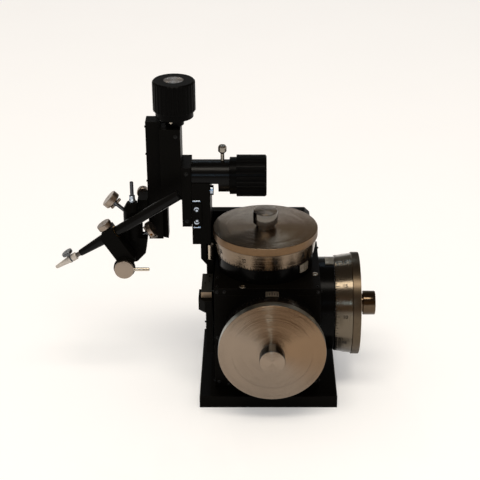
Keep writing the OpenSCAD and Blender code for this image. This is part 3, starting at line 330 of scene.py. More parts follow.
# The colours of each dial's turned face, skirt, rim and finger knob. The three dials are one
# metal; their colours differ from dial to dial as painted light and shade, lighter, darker,
# browner or bluer, for how each dial is lit and what it mirrors.
FACE = {"x": (0.27, 0.21, 0.16), "y": (0.25, 0.195, 0.148), "z": (0.30, 0.24, 0.18)}
SKIRT = {"x": (0.14, 0.115, 0.085), "y": (0.18, 0.15, 0.12), "z": (0.19, 0.142, 0.10)}
RIM = {"x": (0.10, 0.075, 0.05), "y": (0.27, 0.27, 0.24), "z": (0.15, 0.092, 0.05)}
KNOB = {"x": (0.095, 0.066, 0.042), "y": (0.16, 0.18, 0.20), "z": (0.16, 0.145, 0.125)}
FINISHES = {
    "body": black_anodised("black anodised plate", (0.0014, 0.0011, 0.0008), 0.34, 1900),
    "slide": black_anodised("black anodised slide", (0.0016, 0.0014, 0.0011), 0.40, 1500),
    "tube": black_anodised("black anodised tube", (0.0010, 0.0009, 0.0008), 0.25, 1500,
                           specular=0.11),
    "grip": black_anodised("black fluted grip", (0.0012, 0.0011, 0.0010), 0.30, 1500,
                           edge=0.2),
    "barrel": black_anodised("black anodised barrel", (0.0010, 0.0009, 0.0008), 0.2, 1900,
                             specular=0.045),
    "screw": black_anodised("blackened screw", (0.002, 0.002, 0.002), 0.28, 900, edge=0.1,
                            specular=0.14, worn_tone=0.05),
    "steel": machined("ground steel", (0.30, 0.28, 0.26), 0.28),
    "bright": machined("bright screw head", (0.50, 0.44, 0.36), 0.2, edge=0.1),
    "chrome": machined("bright plating", (0.42, 0.48, 0.56), 0.16),
    "chrome_warm": machined("bright knurled screw", (0.26, 0.235, 0.20), 0.2, edge=0.08),
    "sleeve": machined("turned sleeve", (0.46, 0.39, 0.31), 0.28),
    "dark_pin": machined("dark ground pin", (0.055, 0.057, 0.064), 0.12),
    "brass": machined("turned brass", (0.55, 0.33, 0.11), 0.3),
    "satin": machined("satin nickel", SATIN, 0.30),
    "stem": machined("dark bright stem", (0.10, 0.105, 0.115), 0.15),
    "grey": machined("grey knurled screw", (0.12, 0.125, 0.13), 0.3),
    "pale": machined("pale plated collet", (0.56, 0.51, 0.455), 0.42, metal=0.35),
    "collar": machined("dull collar", (0.13, 0.115, 0.10), 0.38, metal=0.8),
    "plate": machined("milled index plate", (0.45, 0.39, 0.31), 0.4, streak=(1, 1, 9)),
    "bar": bare_ends("bar with milled ends", (0.24, 0.18, 0.125), (0.009, 0.008, 0.006)),
    "ink": machined("black filling", (0.01, 0.009, 0.008), 0.6, metal=0.0, specular=0.1),
    "white": machined("white filling", (0.42, 0.39, 0.35), 0.6, metal=0.0, specular=0.2),
}
for key in "xyz":
    # Each dial's rim and knob take that dial's colours, painted light and shade included.
    FINISHES["rim_" + key] = machined("straight knurl " + key, RIM[key], 0.3, edge=0.08)
    FINISHES["knob_" + key] = machined("polished turned knob " + key, KNOB[key], 0.13)


def axis_of(matrix):
    """The way a frame's own +Z points."""
    return tuple(matrix.to_3x3() @ Vector((0, 0, 1)))


DIAL_AXES = {key: axis_of(drive) for key, drive in DRIVES.items()}
DIAL_CENTRES = {key: tuple(drive.translation / MM) for key, drive in DRIVES.items()}


def paint(obj, *materials):
    """Gives a piece its finishes; each face keeps the number of its own."""
    numbers = [polygon.material_index for polygon in obj.data.polygons]
    obj.data.materials.clear()
    for m in materials:
        obj.data.materials.append(m)
    for polygon, number in zip(obj.data.polygons, numbers):
        polygon.material_index = number if len(materials) > 1 else 0


# ---- modelling helpers ------------------------------------------------------
SMOOTH_ANGLE = math.radians(32)


def deselect():
    """Leaves edit mode and selects nothing."""
    if bpy.context.object and bpy.context.object.mode != "OBJECT":
        bpy.ops.object.mode_set(mode="OBJECT")
    bpy.ops.object.select_all(action="DESELECT")


def lathe(name, profile, segments=96, closed_start=True, closed_end=True):
    """Extrudes a circle through (radius, height) steps in mm, along +Z."""
    deselect()
    r0, z0 = profile[0]
    bpy.ops.mesh.primitive_circle_add(vertices=segments, radius=r0 * MM,
                                      location=(0, 0, z0 * MM),
                                      fill_type="NGON" if closed_start else "NOTHING")
    obj = bpy.context.object
    obj.name = name
    bpy.ops.object.transform_apply(location=True, rotation=False, scale=False)
    bpy.ops.object.mode_set(mode="EDIT")
    bpy.ops.mesh.select_mode(type="EDGE")
    bpy.ops.mesh.select_all(action="SELECT")
    previous_r, previous_z = r0, z0
    for r, z in profile[1:]:
        bpy.ops.mesh.extrude_edges_move(
            TRANSFORM_OT_translate={"value": (0, 0, (z - previous_z) * MM)})
        if r != previous_r:
            bpy.ops.transform.resize(value=(r / previous_r, r / previous_r, 1),
                                     center_override=(0, 0, z * MM))
        previous_r, previous_z = r, z
    if closed_end:
        bpy.ops.mesh.edge_face_add()
    bpy.ops.mesh.select_all(action="SELECT")
    bpy.ops.mesh.normals_make_consistent(inside=False)
    bpy.ops.object.mode_set(mode="OBJECT")
    bpy.ops.object.shade_smooth_by_angle(angle=SMOOTH_ANGLE)
    return obj


def knurled(obj, bottom, top, teeth, depth, radius):
    """Draws in every second line of points round a turned band, to leave teeth."""
    bpy.ops.object.mode_set(mode="EDIT")
    bpy.ops.mesh.select_mode(type="VERT")
    bpy.ops.mesh.select_all(action="DESELECT")
    mesh = bmesh.from_edit_mesh(obj.data)
    for v in mesh.verts:
        z, r = v.co.z / MM, v.co.xy.length / MM
        if bottom - 0.01 < z < top + 0.01 and abs(r - radius) < 0.02:
            turn = math.atan2(v.co.y, v.co.x) / (2 * math.pi)
            v.select = round(turn * 2 * teeth) % 2 == 0
    bmesh.update_edit_mesh(obj.data)
    share = (radius - depth) / radius
    bpy.ops.transform.resize(value=(share, share, 1), center_override=(0, 0, 0))
    bpy.ops.object.mode_set(mode="OBJECT")


def settle(obj, matrix, body, slot, *materials):
    """Moves a piece to its place on a body, within its mesh, and gives it its finishes."""
    obj.data.transform(matrix)
    paint(obj, *materials)
    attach(obj, body)
    return obj


def finish_by_place(obj, chooser):
    """Gives each face the number of its finish: chooser(radius, height), in mm."""
    for polygon in obj.data.polygons:
        centre = polygon.center / MM
        polygon.material_index = chooser(centre.xy.length, centre.z)


def copies(piece, frames):
    """Copies a piece to each frame, each with its own mesh, and takes the first away."""
    made = []
    for frame_matrix in frames:
        twin = piece.copy()
        twin.data = piece.data.copy()
        twin.data.transform(frame_matrix)
        bpy.context.scene.collection.objects.link(twin)
        made.append(twin)
    bpy.data.objects.remove(piece)
    return made


def unit_cube():
    deselect()
    bpy.ops.mesh.primitive_cube_add(size=1)
    return bpy.context.object


def joined(name, pieces):
    """Makes one object of several."""
    deselect()
    for piece in pieces:
        piece.select_set(True)
    bpy.context.view_layer.objects.active = pieces[0]
    if len(pieces) > 1:
        bpy.ops.object.join()
    obj = bpy.context.object
    obj.name = name
    return obj


def cut(obj, cutter):
    """Takes a cutter's shape out of a piece, and the cutter out of the scene."""
    modifier = obj.modifiers.new("cut", "BOOLEAN")
    modifier.operation = "DIFFERENCE"
    modifier.solver = "EXACT"
    modifier.object = cutter
    deselect()
    obj.select_set(True)
    bpy.context.view_layer.objects.active = obj
    bpy.ops.object.modifier_apply(modifier=modifier.name)
    bpy.data.objects.remove(cutter)


def prism(radius, bottom, top, sides=6, across=None):
    """A plain cutter: a prism, or a bar where a width across is given."""
    deselect()
    if across:
        bpy.ops.mesh.primitive_cube_add(size=1, location=(0, 0, (bottom + top) / 2 * MM))
        bpy.ops.transform.resize(value=(2 * radius * MM, across * MM, (top - bottom) * MM))
        bpy.ops.object.transform_apply(location=True, rotation=False, scale=True)
    else:
        bpy.ops.mesh.primitive_cylinder_add(vertices=sides, radius=radius * MM,
                                            depth=(top - bottom) * MM,
                                            location=(0, 0, (bottom + top) / 2 * MM))
        bpy.ops.object.transform_apply(location=True, rotation=False, scale=False)
    return bpy.context.object


# ---- dials --------------------------------------------------------------------
# How far the turning marks of each dial's face lean: spread, tail and bias.
FACE_LEAN = {"x": (0.2, 0.25, 0.08), "y": (0.32, 0.24, 0.27), "z": (0.16, 0.24, 0.04)}


def dial(key):
    """A graduated dial with a straight-knurled rim and a turned face."""
    rim_low, rim_high = RIM_START + RIM_BEVEL, DIAL_FACE - RIM_BEVEL
    obj = lathe("dial_" + key + "_turned", [
        (SPINDLE_R, DIAL_BACK), (SKIRT_IN - 0.25, DIAL_BACK), (SKIRT_IN, DIAL_BACK + 0.25),
        (SKIRT_OUT, RIM_START), (RIM_R - RIM_BEVEL, RIM_START), (RIM_R, rim_low),
        (RIM_R, rim_high), (RIM_R - 0.15, DIAL_FACE - 0.15), (RIM_R - RIM_BEVEL, DIAL_FACE),
        (KNOB_NECK_R - 0.6, DIAL_FACE)],
        2 * RIM_TEETH, closed_start=False, closed_end=False)
    knurled(obj, rim_low, rim_high, RIM_TEETH, RIM_DEPTH, RIM_R)
    centre, axis = DIAL_CENTRES[key], DIAL_AXES[key]
    spread, tail, bias = FACE_LEAN[key]
    # Painted shade: the face is darkened and browned towards its right and upper side.
    face = turned("turned dial face " + key, FACE[key], 0.2, centre, axis, spread, tail,
                  bias, painted_shade=(0.84, 0.70, 0.55))
    skirt = turned_side("turned dial skirt " + key, SKIRT[key], 0.17, centre, axis)
    rim = FINISHES["rim_" + key]
    finish_by_place(obj, lambda r, z: 0 if z > DIAL_FACE - 0.2 else
                    1 if z < RIM_START - 0.05 else 2)
    settle(obj, DRIVES[key], "dial_" + key + "_drive", "turned_aluminium", face, skirt, rim)
    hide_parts("dial_" + key)


def skirt_radius(height):
    """The skirt's radius at a height above its free edge."""
    return SKIRT_IN + (SKIRT_OUT - SKIRT_IN) * height / (RIM_START - DIAL_BACK)


def on_skirt(turn, across, height, lift):
    """A place on the skirt: degrees round it, mm across, mm up it and mm proud."""
    radius = skirt_radius(height) + lift
    a = math.radians(turn) + across / radius
    return Vector((radius * math.cos(a), radius * math.sin(a), DIAL_BACK + height)) * MM


# Where the zero stands round each dial, in degrees; the numbers rise clockwise as
# seen from the dial's face.
ZERO_AT = {"x": 240.4, "y": 97.0, "z": -6.6}
LINE_WIDTH = 0.45
LINE_FROM = 0.3  # from the skirt's edge to the near end of a line
NUMBER_SIZE = 3.9
NUMBER_HEIGHT = 7.4  # from the skirt's edge to the middle of a number


def dial_lines(zero):
    """The division lines of one dial: short at the halves, longest at the fives."""
    lines = []
    for i in range(2 * DIVISIONS):
        reach = 3.2 if i % 10 == 0 else 2.4 if i % 2 == 0 else 1.5
        line = unit_cube()
        for v in line.data.vertices:
            v.co = on_skirt(zero - 180 * i / DIVISIONS, v.co.x * LINE_WIDTH,
                            LINE_FROM + (v.co.y + 0.5) * (reach - LINE_FROM),
                            0.015 + v.co.z * 0.05)
        lines.append(line)
    return lines


def dial_scale(key):
    """Division lines, and a number at every fifth, as black strokes on the skirt."""
    marks = dial_lines(ZERO_AT[key])
    for i in range(DIVISIONS // 5):
        deselect()
        bpy.ops.object.text_add()
        text = bpy.context.object
        text.data.body = "%02d" % (5 * i)
        text.data.size = NUMBER_SIZE * MM
        text.data.align_x = "CENTER"
        text.data.align_y = "CENTER"
        text.data.extrude = 0.02 * MM
        text.data.offset = 0.1 * MM
        text.data.resolution_u = 3
        bpy.ops.object.convert(target="MESH")
        for v in text.data.vertices:
            along, across, lift = v.co / MM
            v.co = on_skirt(ZERO_AT[key] - 360 * 5 * i / DIVISIONS, -across,
                            NUMBER_HEIGHT + along, lift + 0.05)
        marks.append(text)
    obj = joined("dial_" + key + "_scale", marks)
    bpy.ops.object.mode_set(mode="EDIT")
    bpy.ops.mesh.select_all(action="SELECT")
    bpy.ops.mesh.normals_make_consistent(inside=False)
    bpy.ops.object.mode_set(mode="OBJECT")
    settle(obj, DRIVES[key], "dial_" + key + "_drive", "turned_aluminium",
           FINISHES["ink"])


def dial_knob(key):
    """The finger knob in the middle of a dial: a polished neck and a turned top."""
    top = DIAL_FACE + KNOB_H
    neck_top = DIAL_FACE + KNOB_NECK_H
    obj = lathe("dial_" + key + "_finger_knob", [
        (KNOB_NECK_R + 0.5, DIAL_FACE), (KNOB_NECK_R, DIAL_FACE + 0.4),
        (KNOB_NECK_R, neck_top - 0.1), (KNOB_NECK_R + 0.3, neck_top),
        (KNOB_R - 0.5, neck_top), (KNOB_R, neck_top + 0.5), (KNOB_R, top - 0.7),
        (KNOB_R - 0.25, top - 0.2), (KNOB_R - 0.7, top), (0.3, top)], 96)
    # The knob's face and side take this dial's colours, painted light and shade included.
    face = turned("turned knob face " + key, FACE[key], 0.2, DIAL_CENTRES[key],
                  DIAL_AXES[key], spread=0.36, tail=0.3, bias=0.0)
    finish_by_place(obj, lambda r, z: 0 if z > top - 0.3 else 1)
    settle(obj, DRIVES[key], "dial_" + key + "_drive", "turned_aluminium", face,
           FINISHES["knob_" + key])
    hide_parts("dial_knob_" + key)


for key in "xyz":
    dial(key)
    dial_scale(key)
    dial_knob(key)


# ---- index lines beside the dials -----------------------------------------------
INDEX_R = 37.44  # from the dial's axis to the index plate's outer face
INDEX_LOW, INDEX_HIGH = 5.0, 11.5
INDEX_TURN = {"x": 90, "y": 90, "z": -38}
INDEX_PITCH, INDEX_WIDTH = 1.9, 0.4


def index_lines(key, turn):
    """Five black lines on an index plate, the middle one longer."""
    lines = []
    for i in range(-2, 3):
        line = unit_cube()
        low_end = INDEX_LOW + (0.8 if i == 0 else 2.6)
        for v in line.data.vertices:
            a = math.radians(turn) + (i * INDEX_PITCH + v.co.x * INDEX_WIDTH) / INDEX_R
            r = INDEX_R + v.co.z * 0.05
            v.co = Vector((r * math.cos(a), r * math.sin(a),
                           low_end + (v.co.y + 0.5) * (INDEX_HIGH - 0.2 - low_end))) * MM
        lines.append(line)
    obj = joined("index_%s_lines" % key, lines)
    settle(obj, DRIVES[key], "base", "turned_aluminium", FINISHES["ink"])


# ---- screws ---------------------------------------------------------------------
def socket_screw(radius, height, segments=32):
    """A cap with a hexagon socket, its foot at z = 0."""
    obj = lathe("screw", [(radius - 0.1, 0), (radius, 0.1), (radius, height - 0.22),
                          (radius - 0.08, height - 0.08), (radius - 0.25, height)], segments)
    cut(obj, prism(radius * 0.52, height * 0.25, height + 1))
    return obj


FACING = {"+x": [(90, "Y")], "-x": [(-90, "Y")], "+y": [(-90, "X")], "-y": [(90, "X")],
          "+z": [], "-z": [(180, "X")]}


def screws(name, piece, facing, places, body, finish="screw", slot="black_anodised"):
    """Copies a screw to places in mm, all facing one way, and makes one piece of them."""
    frames = [place(*at, FACING[facing]) for at in places]
    settle(joined(name, copies(piece, frames)), Matrix.Identity(4), body, slot,
           FINISHES[finish])


block_left = low("drive_housing").x
plate_back = high("x_stage_plate").y
SUNK = 0.1  # how far a screw head's foot lies under the face that it is in
screws("block_bright_screws", socket_screw(2.6, 0.5), "+z",
       [(x, y, block_top - 0.12) for x, y in
        ((-19.5, -36.5), (35.2, -16.3), (17.5, 36.7), (-37.2, 17.3))],
       "base", "bright", "bright_steel")
screws("block_top_screws", socket_screw(1.3, 0.3), "+z",
       [(x, y, block_top - SUNK) for x, y in
        ((-38.6, -22.6), (36.6, 30.0), (-38.6, -36.9), (36.6, -36.9))], "base")
screws("block_front_screws", socket_screw(1.45, 0.3), "-y",
       [(x, block_front + SUNK, z) for x, z in
        ((-38.6, 93.6), (-33.0, 93.6), (36.6, 93.6), (-38.1, 15.2), (-30.6, 12.7),
         (36.1, 15.2), (-38.6, 54.4), (36.4, 30.0))], "base")
screws("block_side_screws", socket_screw(1.45, 0.3), "+x",
       [(block_right - SUNK, y, z) for y, z in
        ((-36.4, 14.4), (37.2, 14.4), (-36.4, 92.8), (37.2, 92.8))], "base")
screws("block_left_screws", socket_screw(1.45, 0.3), "-x",
       [(block_left + SUNK, y, z) for y, z in
        ((-36.2, 14.4), (37.2, 14.4), (-36.2, 92.8), (0.0, 15.4))], "base")
screws("stage_plate_screws", socket_screw(2.3, 0.4), "+y",
       [(x, plate_back - 0.15, z) for x, z in
        ((-41.0, 31.0), (-41.0, 74.0), (-41.0, 114.0), (26.5, 31.0), (26.5, 74.0),
         (26.5, 114.0), (-7.0, 60.0), (-7.0, 88.0))], "x_stage")

# Further screws, on the column, the slides and the stages.
screws("column_socket_screws", socket_screw(1.98, 0.5), "-y",
       [(-54.35, low("column_screws").y + 0.45, z) for z in (133.6, 142.3)], "z_stage")
screws("column_saddle_screw", socket_screw(3.9, 0.6), "+x",
       [(high("column_screws").x - 0.55, 8.0, 155.9)], "z_stage")
screws("hanging_plate_screws", socket_screw(1.6, 0.3), "-y",
       [(-62.0, low("hanging_plate").y + SUNK, z) for z in (132.0, 171.0)],
       "coarse_x_slide")
screws("coarse_body_screws", socket_screw(1.6, 0.3), "-y",
       [(-69.2, low("coarse_z_body").y + SUNK, z) for z in (154.5, 200.5)],
       "coarse_x_slide")
screws("coarse_body_back_screws", socket_screw(2.0, 0.35), "+y",
       [(-73.3, high("coarse_z_body").y - SUNK, z) for z in (156.0, 177.0, 198.0)],
       "coarse_x_slide")
screws("hub_grub_screw", socket_screw(1.1, 0.3), "-y", [(-72.6, 9.9, 209.4)],
       "coarse_z_drive", "bright", "bright_steel")
screws("stage_gib_screws", socket_screw(1.3, 0.3), "-x",
       [(low("y_stage_plate").x + SUNK, y, z) for z in (58.0, 44.0)
        for y in (-21.0, -5.0, 34.0)], "y_stage")
screws("carriage_screws", socket_screw(1.5, 0.3), "-x",
       [(low("carriage").x + SUNK, 16.5, z) for z in (120.0, 160.0, 182.0, 204.0)],
       "coarse_z_slide")
screws("bar_pins", socket_screw(0.75, 0.25, 20), "+z",
       [(x, y, high("y_stage_bar").z - SUNK) for x, y in
        ((-45.4, -9.8), (-48.6, -12.7), (-45.4, -2.0))], "y_stage")
for key, turn in INDEX_TURN.items():
    index_lines(key, turn)


def arrow(name, frame_matrix):
    """A small white arrow on the block: which way the dial's stage goes."""
    strokes = []
    for x0, y0, x1, y1 in ((-1.5, 0.45, 1.5, -0.45), (1.5, -0.45, 0.55, -0.95),
                           (1.5, -0.45, 0.9, 0.35)):
        stroke = unit_cube()
        way = Vector((x1 - x0, y1 - y0, 0))
        side = Vector((-way.y, way.x, 0)).normalized() * 0.42
        for v in stroke.data.vertices:
            v.co = (Vector((x0, y0, 0)) + way * (v.co.x + 0.5) + side * v.co.y +
                    Vector((0, 0, 0.04 * v.co.z))) * MM
        strokes.append(stroke)
    settle(joined(name, strokes), frame_matrix, "base", "turned_aluminium",
           FINISHES["white"])


arrow("front_arrow", place(10.2, block_front, 92.6, FACING["-y"]))
arrow("top_arrow", place(19.2, -17.2, block_top, [(-38, "Z")]))
arrow("side_arrow", place(block_right, 14.0, 92.6, [(90, "Y"), (90, "Z")]))


# ---- thumb screws and the holder's fittings --------------------------------------
def pin(length, radius):
    """A pin with domed ends, along +Z from z = 0."""
    return lathe("pin", [(radius * 0.45, 0), (radius * 0.85, radius * 0.18),
                         (radius, radius * 0.5), (radius, length - radius * 0.5),
                         (radius * 0.85, length - radius * 0.18), (radius * 0.45, length)],
                 24)


def thumb_screw(name, node, matrix, reach, radius, cross, body, thick, hole=None):
    """A round thumb screw: a stem and a finely knurled disc.

    It has a boss and a pin across it at the height `cross`, unless that is 0, and a hole
    in its edge, turned `hole` degrees, where one is given."""
    back, front = reach + 1.7 - thick, reach + 1.7
    stem = [(1.0, 0), (1.45, 0.5), (1.45, (cross or back) - 1.15)]
    if cross:
        stem += [(2.05, cross - 1.1), (2.2, cross - 0.9), (2.2, min(cross + 1.1, back - 0.05))]
    obj = lathe(name, stem + [
        (2.6, back), (radius - 0.5, back), (radius, back + 0.5), (radius, front - 0.5),
        (radius - 0.14, front - 0.2), (radius - 0.45, front), (0.9, front),
        (0.5, front - 0.35)], 96)
    knurled(obj, back + 0.5, front - 0.5, 48, 0.14, radius)
    if hole is not None:
        bit = prism(0.95, radius - 2.6, radius + 1, sides=20)
        bit.data.transform(place(0, 0, (back + front) / 2, [(hole, "Z"), (90, "Y")]))
        cut(obj, bit)
    face = turned("turned " + name, SATIN, 0.3,
                  tuple(matrix.translation / MM), axis_of(matrix),
                  spread=0.08, tail=0.12, bias=0.0)
    finish_by_place(obj, lambda r, z: 1 if z > front - 0.3 and r < radius - 0.3 else
                    2 if z < back - 0.3 else
                    3 if r < radius - 0.5 and z > back + 0.2 else 0)
    parts = [obj]
    if cross:
        rod = pin(10.4, 1.15)
        rod.data.transform(place(-5.2, 0, cross, [(90, "Y")]))
        paint(rod, FINISHES["satin"])
        parts.append(rod)
    paint(obj, FINISHES["satin"], face, FINISHES["stem"], FINISHES["brass"])
    obj = joined(name, parts)
    obj.data.transform(matrix)
    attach(obj, body)
    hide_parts(node)


# Where the holder's joints and screws stand; +Z of a screw's frame points to its head.
SWIVEL_X = -102.86
SWIVEL_LOCK = place(SWIVEL_X, 0, 137.3, [(-48.4, "Y")]) @ place(0, 0, 4.3)
SIDE_LOCK = place(SWIVEL_X + 3.6, 0, 120.1, [(57.5, "Y")]) @ place(0, 0, 0.3)
ROD = place(-109.3, -13.3, 134.4, [(57.5, "Y")])
ROD_LOCK = ROD @ place(-5.1, 0, -10.6, [(-90, "Y")])
CHUCK_SCREW = ROD @ place(-0.9, 0, -47.8, [(-90, "Y")])
TILT = place(-108.90, 0, 104.18, [(90, "X")])

thumb_screw("swivel_thumb_screw", "swivel_lock", SWIVEL_LOCK, 17.9, 6.8, 12.4,
            "swivel_lock_body", thick=5.0)
thumb_screw("side_thumb_screw", "side_lock", SIDE_LOCK, 11.6, 6.8, 8.2, "side_lock_body",
            thick=3.9, hole=-80)
thumb_screw("rod_thumb_screw", "rod_lock", ROD_LOCK, 4.3, 5.6, 0, "rod_lock_body",
            thick=4.3)


def tilt_handle():
    """The tilting joint's clamp: a plain disc with a long polished bar."""
    back, front = 21.05, 24.45
    obj = lathe("tilt_clamp_disc", [
        (1.4, -3), (1.95, -2.5), (1.95, back - 0.2), (3.4, back), (7.0, back),
        (7.3, back + 0.3), (7.3, front - 0.35), (7.2, front - 0.12), (6.9, front),
        (0.4, front)], 96)
    face = turned("turned clamp face", SATIN, 0.34, (-108.9, 0, 104.18), (0, -1, 0),
                  spread=0.06, tail=0.08, bias=0.0)
    finish_by_place(obj, lambda r, z: 1 if z > front - 0.2 else 0)
    paint(obj, FINISHES["satin"], face)
    bar = lathe("bar", [(1.1, 5.0), (1.35, 5.2), (1.35, 7.9), (1.2, 8.0), (1.2, 8.5),
                        (1.35, 8.6), (1.35, 18.5), (1.2, 18.9), (0.9, 19.1)], 32)
    bar.data.transform(place(0, 0, (back + front) / 2, [(90, "Y")]))
    paint(bar, FINISHES["bright"])
    obj = joined("tilt_clamp_handle", [obj, bar])
    obj.data.transform(TILT)
    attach(obj, "tilt_lock_body")
    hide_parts("tilt_lock")


def carriage_thumb_screw():
    """The knurled screw behind the swivel, in the carriage."""
    obj = lathe("carriage_thumb_screw", [
        (1.0, 0.5), (1.45, 1.0), (1.45, 10.0), (4.2, 10.0), (4.6, 10.4), (4.6, 14.5),
        (4.45, 14.85), (4.1, 15.0), (0.8, 15.0), (0.5, 14.7)], 80)
    knurled(obj, 10.4, 14.5, 40, 0.14, 4.6)
    settle(obj, place(-96.86, 12, 146.9, [(-90, "X")]), "carriage_lock_body",
           "bright_steel", FINISHES["satin"])
    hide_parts("carriage_lock")


def tube_thumb_screw():
    """The small bright screw on top of the coarse X tube; heights are from the floor."""
    obj = lathe("tube_thumb_screw", [
        (1.2, 171.7), (1.45, 172.0), (1.45, 182.4), (1.9, 183.0), (3.0, 184.1),
        (3.25, 184.4), (3.25, 187.6), (3.05, 188.1), (2.4, 189.0), (1.4, 189.25),
        (0.4, 189.3)], 72)
    knurled(obj, 184.4, 187.6, 36, 0.16, 3.25)
    settle(obj, place(-34.9, 16.5, 0), "tube_lock_body", "bright_steel",
           FINISHES["chrome_warm"])
    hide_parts("tube_lock_screw")


def stud():
    """The swivel's stud: a bright two-step collar under a dark ground pin."""
    z = 149.5  # just under the collar
    obj = lathe("swivel_stud_turned", [
        (1.6, 124.8), (1.96, 125.2), (1.96, z + 0.1), (2.3, z + 0.1), (2.45, z + 0.3),
        (2.45, z + 2.5), (2.15, z + 2.7), (2.0, z + 2.9), (2.2, z + 3.1), (2.2, z + 5.4),
        (1.95, z + 5.6), (1.4, z + 5.65), (1.4, z + 16.3), (1.15, z + 16.6), (0.3, z + 16.6)],
        64)
    cut(obj, prism(3, z + 15.9, z + 18, across=0.45))
    finish_by_place(obj, lambda r, h: 1 if h > z + 5.66 else 0)
    settle(obj, place(SWIVEL_X, 0, 0), "swivel", "bright_steel", FINISHES["chrome"],
           FINISHES["dark_pin"])
    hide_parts("swivel_stud")


def collet():
    """The glass tool's collet: a bored cone, a grooved head and a dull collar."""
    obj = lathe("collet", [
        (0.8, 6.0), (0.8, 0.1), (0.9, 0.0), (1.15, 0.0), (1.3, 0.2), (2.44, 11.2),
        (2.5, 11.5), (2.88, 11.9), (2.9, 13.7), (2.4, 14.0), (2.4, 14.6), (2.9, 14.9),
        (2.9, 18.3), (2.75, 18.7), (2.4, 19.0), (1.8, 19.05), (1.8, 20.2), (1.6, 20.35),
        (1.6, 20.8), (1.8, 20.95), (1.8, 22.6), (1.2, 23.0)], 64)
    finish_by_place(obj, lambda r, z: 2 if z > 19.03 else 1 if 13.8 < z < 14.8 else 0)
    settle(obj, ROD @ place(0, 0, -61.9), "holder", "bright_steel", FINISHES["pale"],
           FINISHES["grey"], FINISHES["collar"])
    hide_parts("chuck")


def collet_screw():
    """The grey knurled screw that closes the collet."""
    obj = lathe("collet_thumb_screw", [
        (0.7, 0), (0.98, 0.3), (0.98, 3.3), (1.9, 3.4), (4.0, 3.4), (4.3, 3.7), (4.3, 5.4),
        (4.0, 5.7), (0.8, 5.7), (0.5, 5.5)], 64)
    knurled(obj, 3.7, 5.4, 32, 0.14, 4.3)
    settle(obj, CHUCK_SCREW, "chuck_screw_body", "bright_steel", FINISHES["grey"])
    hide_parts("chuck_screw")


def rod_end():
    """A dark plug in the upper end of the holder's rod."""
    obj = lathe("rod_end_plug", [(3.5, 49.9), (3.5, 50.1), (3.3, 50.2), (1.5, 50.2),
                                 (1.3, 50.05), (0.3, 50.05)], 48)
    settle(obj, ROD, "holder", "black_anodised", FINISHES["screw"])


tilt_handle()
carriage_thumb_screw()
tube_thumb_screw()
stud()
collet()
collet_screw()
rod_end()

# ---- finishes of the solids that stay -----------------------------------------
FINISH_OF = {
    "body": ["base_plate", "drive_housing", "front_plate", "top_plate"],
    "barrel": ["barrel_x", "barrel_y", "barrel_z"],
    "slide": ["x_stage_plate", "y_stage_plate", "stop_block", "z_slider", "column",
              "column_end_plate", "hanging_plate", "coarse_z_body", "carriage",
              "clamp_bracket", "swivel_body", "tilt_arm"],
    "tube": ["coarse_x_tube", "coarse_x_plunger", "holder_rod"],
    "grip": ["coarse_x_knob", "coarse_z_knob"],
    "steel": ["housing_screws", "lever_pivots", "spindle_x", "spindle_y", "spindle_z",
              "lever_x", "lever_y", "lever_z", "y_guide_rods", "coarse_x_screw",
              "coarse_z_screw"],
    "chrome": ["column_screws"],
    "sleeve": ["spring_sleeve"],
    "brass": ["spindle_bushes", "nut_x", "nut_y", "nut_z", "rod_bush"],
    "plate": ["index_plates"],
    "bar": ["y_stage_bar"],
}
for finish, nodes in FINISH_OF.items():
    for node in nodes:
        paint(NODES[node], FINISHES[finish])
inset = middle("knob_inset")
paint(NODES["knob_inset"], turned("turned inset disc", (0.34, 0.30, 0.27), 0.22,
                                  tuple(inset), (0, 0, 1), spread=0.1, tail=0.2, bias=0.0))


# ---- floor, light and camera --------------------------------------------------
FLOOR_GLOW = 0.25
ROOM_LIGHT = (0.60, 0.56, 0.52)  # what falls on matt surfaces from all round


def seen_or_mirrored(n):
    """1 for camera rays and rays that are mirrored or let through, and for camera rays
    alone."""
    path = n.tree.nodes.new("ShaderNodeLightPath")
    seen, glossy, through = [Value(n, path.outputs[name]) for name in
                             ("Is Camera Ray", "Is Glossy Ray", "Is Transmission Ray")]
    return seen.maths("MAXIMUM", glossy).maths("MAXIMUM", through), seen


def floor():
    """A pale floor, with a little glow that only the camera and mirrors see."""
    deselect()
    bpy.ops.mesh.primitive_plane_add(size=6)
    obj = bpy.context.object
    obj.name = "floor"
    f = Finish("pale floor")
    f.set(colour=f.mix(f.noise(9, 2), (0.80, 0.80, 0.80), (0.82, 0.82, 0.82)), rough=0.9,
          specular=0.1)
    glow = f.node("ShaderNodeEmission", {}, {"Strength": seen_or_mirrored(f)[0] * FLOOR_GLOW})
    both = f.node("ShaderNodeAddShader", {}, [Value(f, f.surface.outputs[0]), glow])
    f.put(f.tree.nodes["Material Output"].inputs["Surface"], both)
    paint(obj, f.material)


# The room as metal mirrors it: white up to just above the floor's edge, then four walls
# and a ceiling.
WALL_FRONT, WALL_BACK = (0.24, 0.15, 0.08), (0.22, 0.21, 0.195)
WALL_LEFT, WALL_RIGHT = (0.42, 0.39, 0.34), (0.17, 0.11, 0.06)
CEILING = (0.10, 0.085, 0.07)


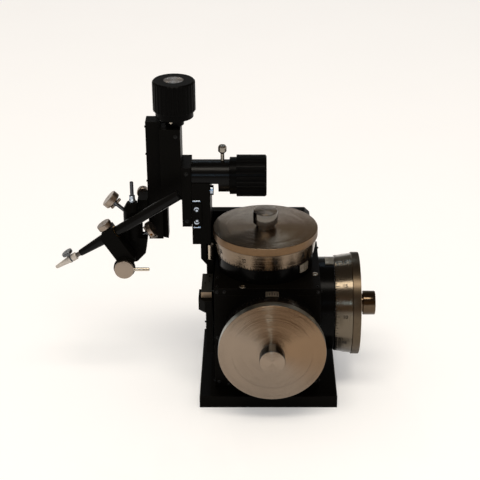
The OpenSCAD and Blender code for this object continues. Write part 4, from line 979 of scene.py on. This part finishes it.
def surroundings():
    """A room that only mirrors show: the camera sees plain white round the floor."""
    world = bpy.data.worlds.new("studio")
    bpy.context.scene.world = world
    world.use_nodes = True
    n = Nodes(world.node_tree)
    x, y, z = n.split(n.node("ShaderNodeTexCoord", output="Generated"))
    wall = n.mix(n.step(y, -0.3, 0.6), WALL_FRONT, WALL_BACK)
    wall = n.mix(n.step(x, -0.25, -0.7), wall, WALL_LEFT)
    wall = n.mix(n.step(x, 0.25, 0.7), wall, WALL_RIGHT)
    wall = n.mix(n.step(z, 0.45, 0.85), wall, CEILING)
    room = n.mix(n.step(z, 0.03, 0.16), (1.0, 1.0, 1.0), wall)
    mirrored, seen = seen_or_mirrored(n)
    colour = n.mix(mirrored, ROOM_LIGHT, room)
    colour = n.mix(seen, colour, (1.0, 1.0, 1.0))
    n.put(n.tree.nodes["Background"].inputs["Color"], colour)


def softbox(name, azimuth, elevation, distance, size, glow, colour):
    """An area light that faces the object, as bright as `glow` whites.

    Azimuth 0 is in front, 90 on the right, 180 behind."""
    a, e = math.radians(azimuth), math.radians(elevation)
    target = Vector((-0.01, 0, 0.09))
    away = Vector((math.sin(a) * math.cos(e), -math.cos(a) * math.cos(e), math.sin(e)))
    lamp = bpy.data.lights.new(name, "AREA")
    lamp.shape = "RECTANGLE"
    lamp.size, lamp.size_y = size
    lamp.energy = glow * math.pi * size[0] * size[1]
    lamp.color = colour
    obj = bpy.data.objects.new(name, lamp)
    bpy.context.scene.collection.objects.link(obj)
    obj.location = target + away * distance
    obj.rotation_euler = away.to_track_quat("Z", "Y").to_euler()
    obj.visible_camera = False


# The camera fitted to the photo: pixels of its image, and metres.
IMAGE_PX = 480
FOCAL_PX = 1299.2
CENTRE_X_PX, CENTRE_Y_PX = 257.8, 241.4
SENSOR = 36
CAMERA_AT = (-0.00815, -0.89435, 0.5523)
CAMERA_DOWN = 25.98  # degrees below the horizon


def camera():
    cam = bpy.data.cameras.new("photo camera")
    cam.sensor_width = SENSOR
    cam.lens = FOCAL_PX / IMAGE_PX * SENSOR
    cam.shift_x = -(CENTRE_X_PX - IMAGE_PX / 2) / IMAGE_PX
    cam.shift_y = (CENTRE_Y_PX - IMAGE_PX / 2) / IMAGE_PX
    obj = bpy.data.objects.new("photo camera", cam)
    bpy.context.scene.collection.objects.link(obj)
    obj.location = CAMERA_AT
    obj.rotation_euler = (math.radians(90 - CAMERA_DOWN), 0, 0)
    bpy.context.scene.camera = obj


floor()
surroundings()
softbox("ceiling", 0, 71, 1.9, (1.6, 0.46), 8, (1.0, 0.93, 0.82))
softbox("window", -4, 27, 2.2, (0.26, 0.16), 14, (0.50, 0.76, 1.0))
softbox("small_lamp", -159.5, 40.5, 2.2, (0.07, 0.07), 90, (1.0, 0.88, 0.72))
softbox("back_window_left", -173, 42, 2.2, (0.07, 0.6), 5, (0.6, 0.8, 1.0))
softbox("back_window_right", 173, 42, 2.2, (0.07, 0.6), 4, (0.6, 0.8, 1.0))
camera()
bpy.context.scene.view_settings.view_transform = "Standard"
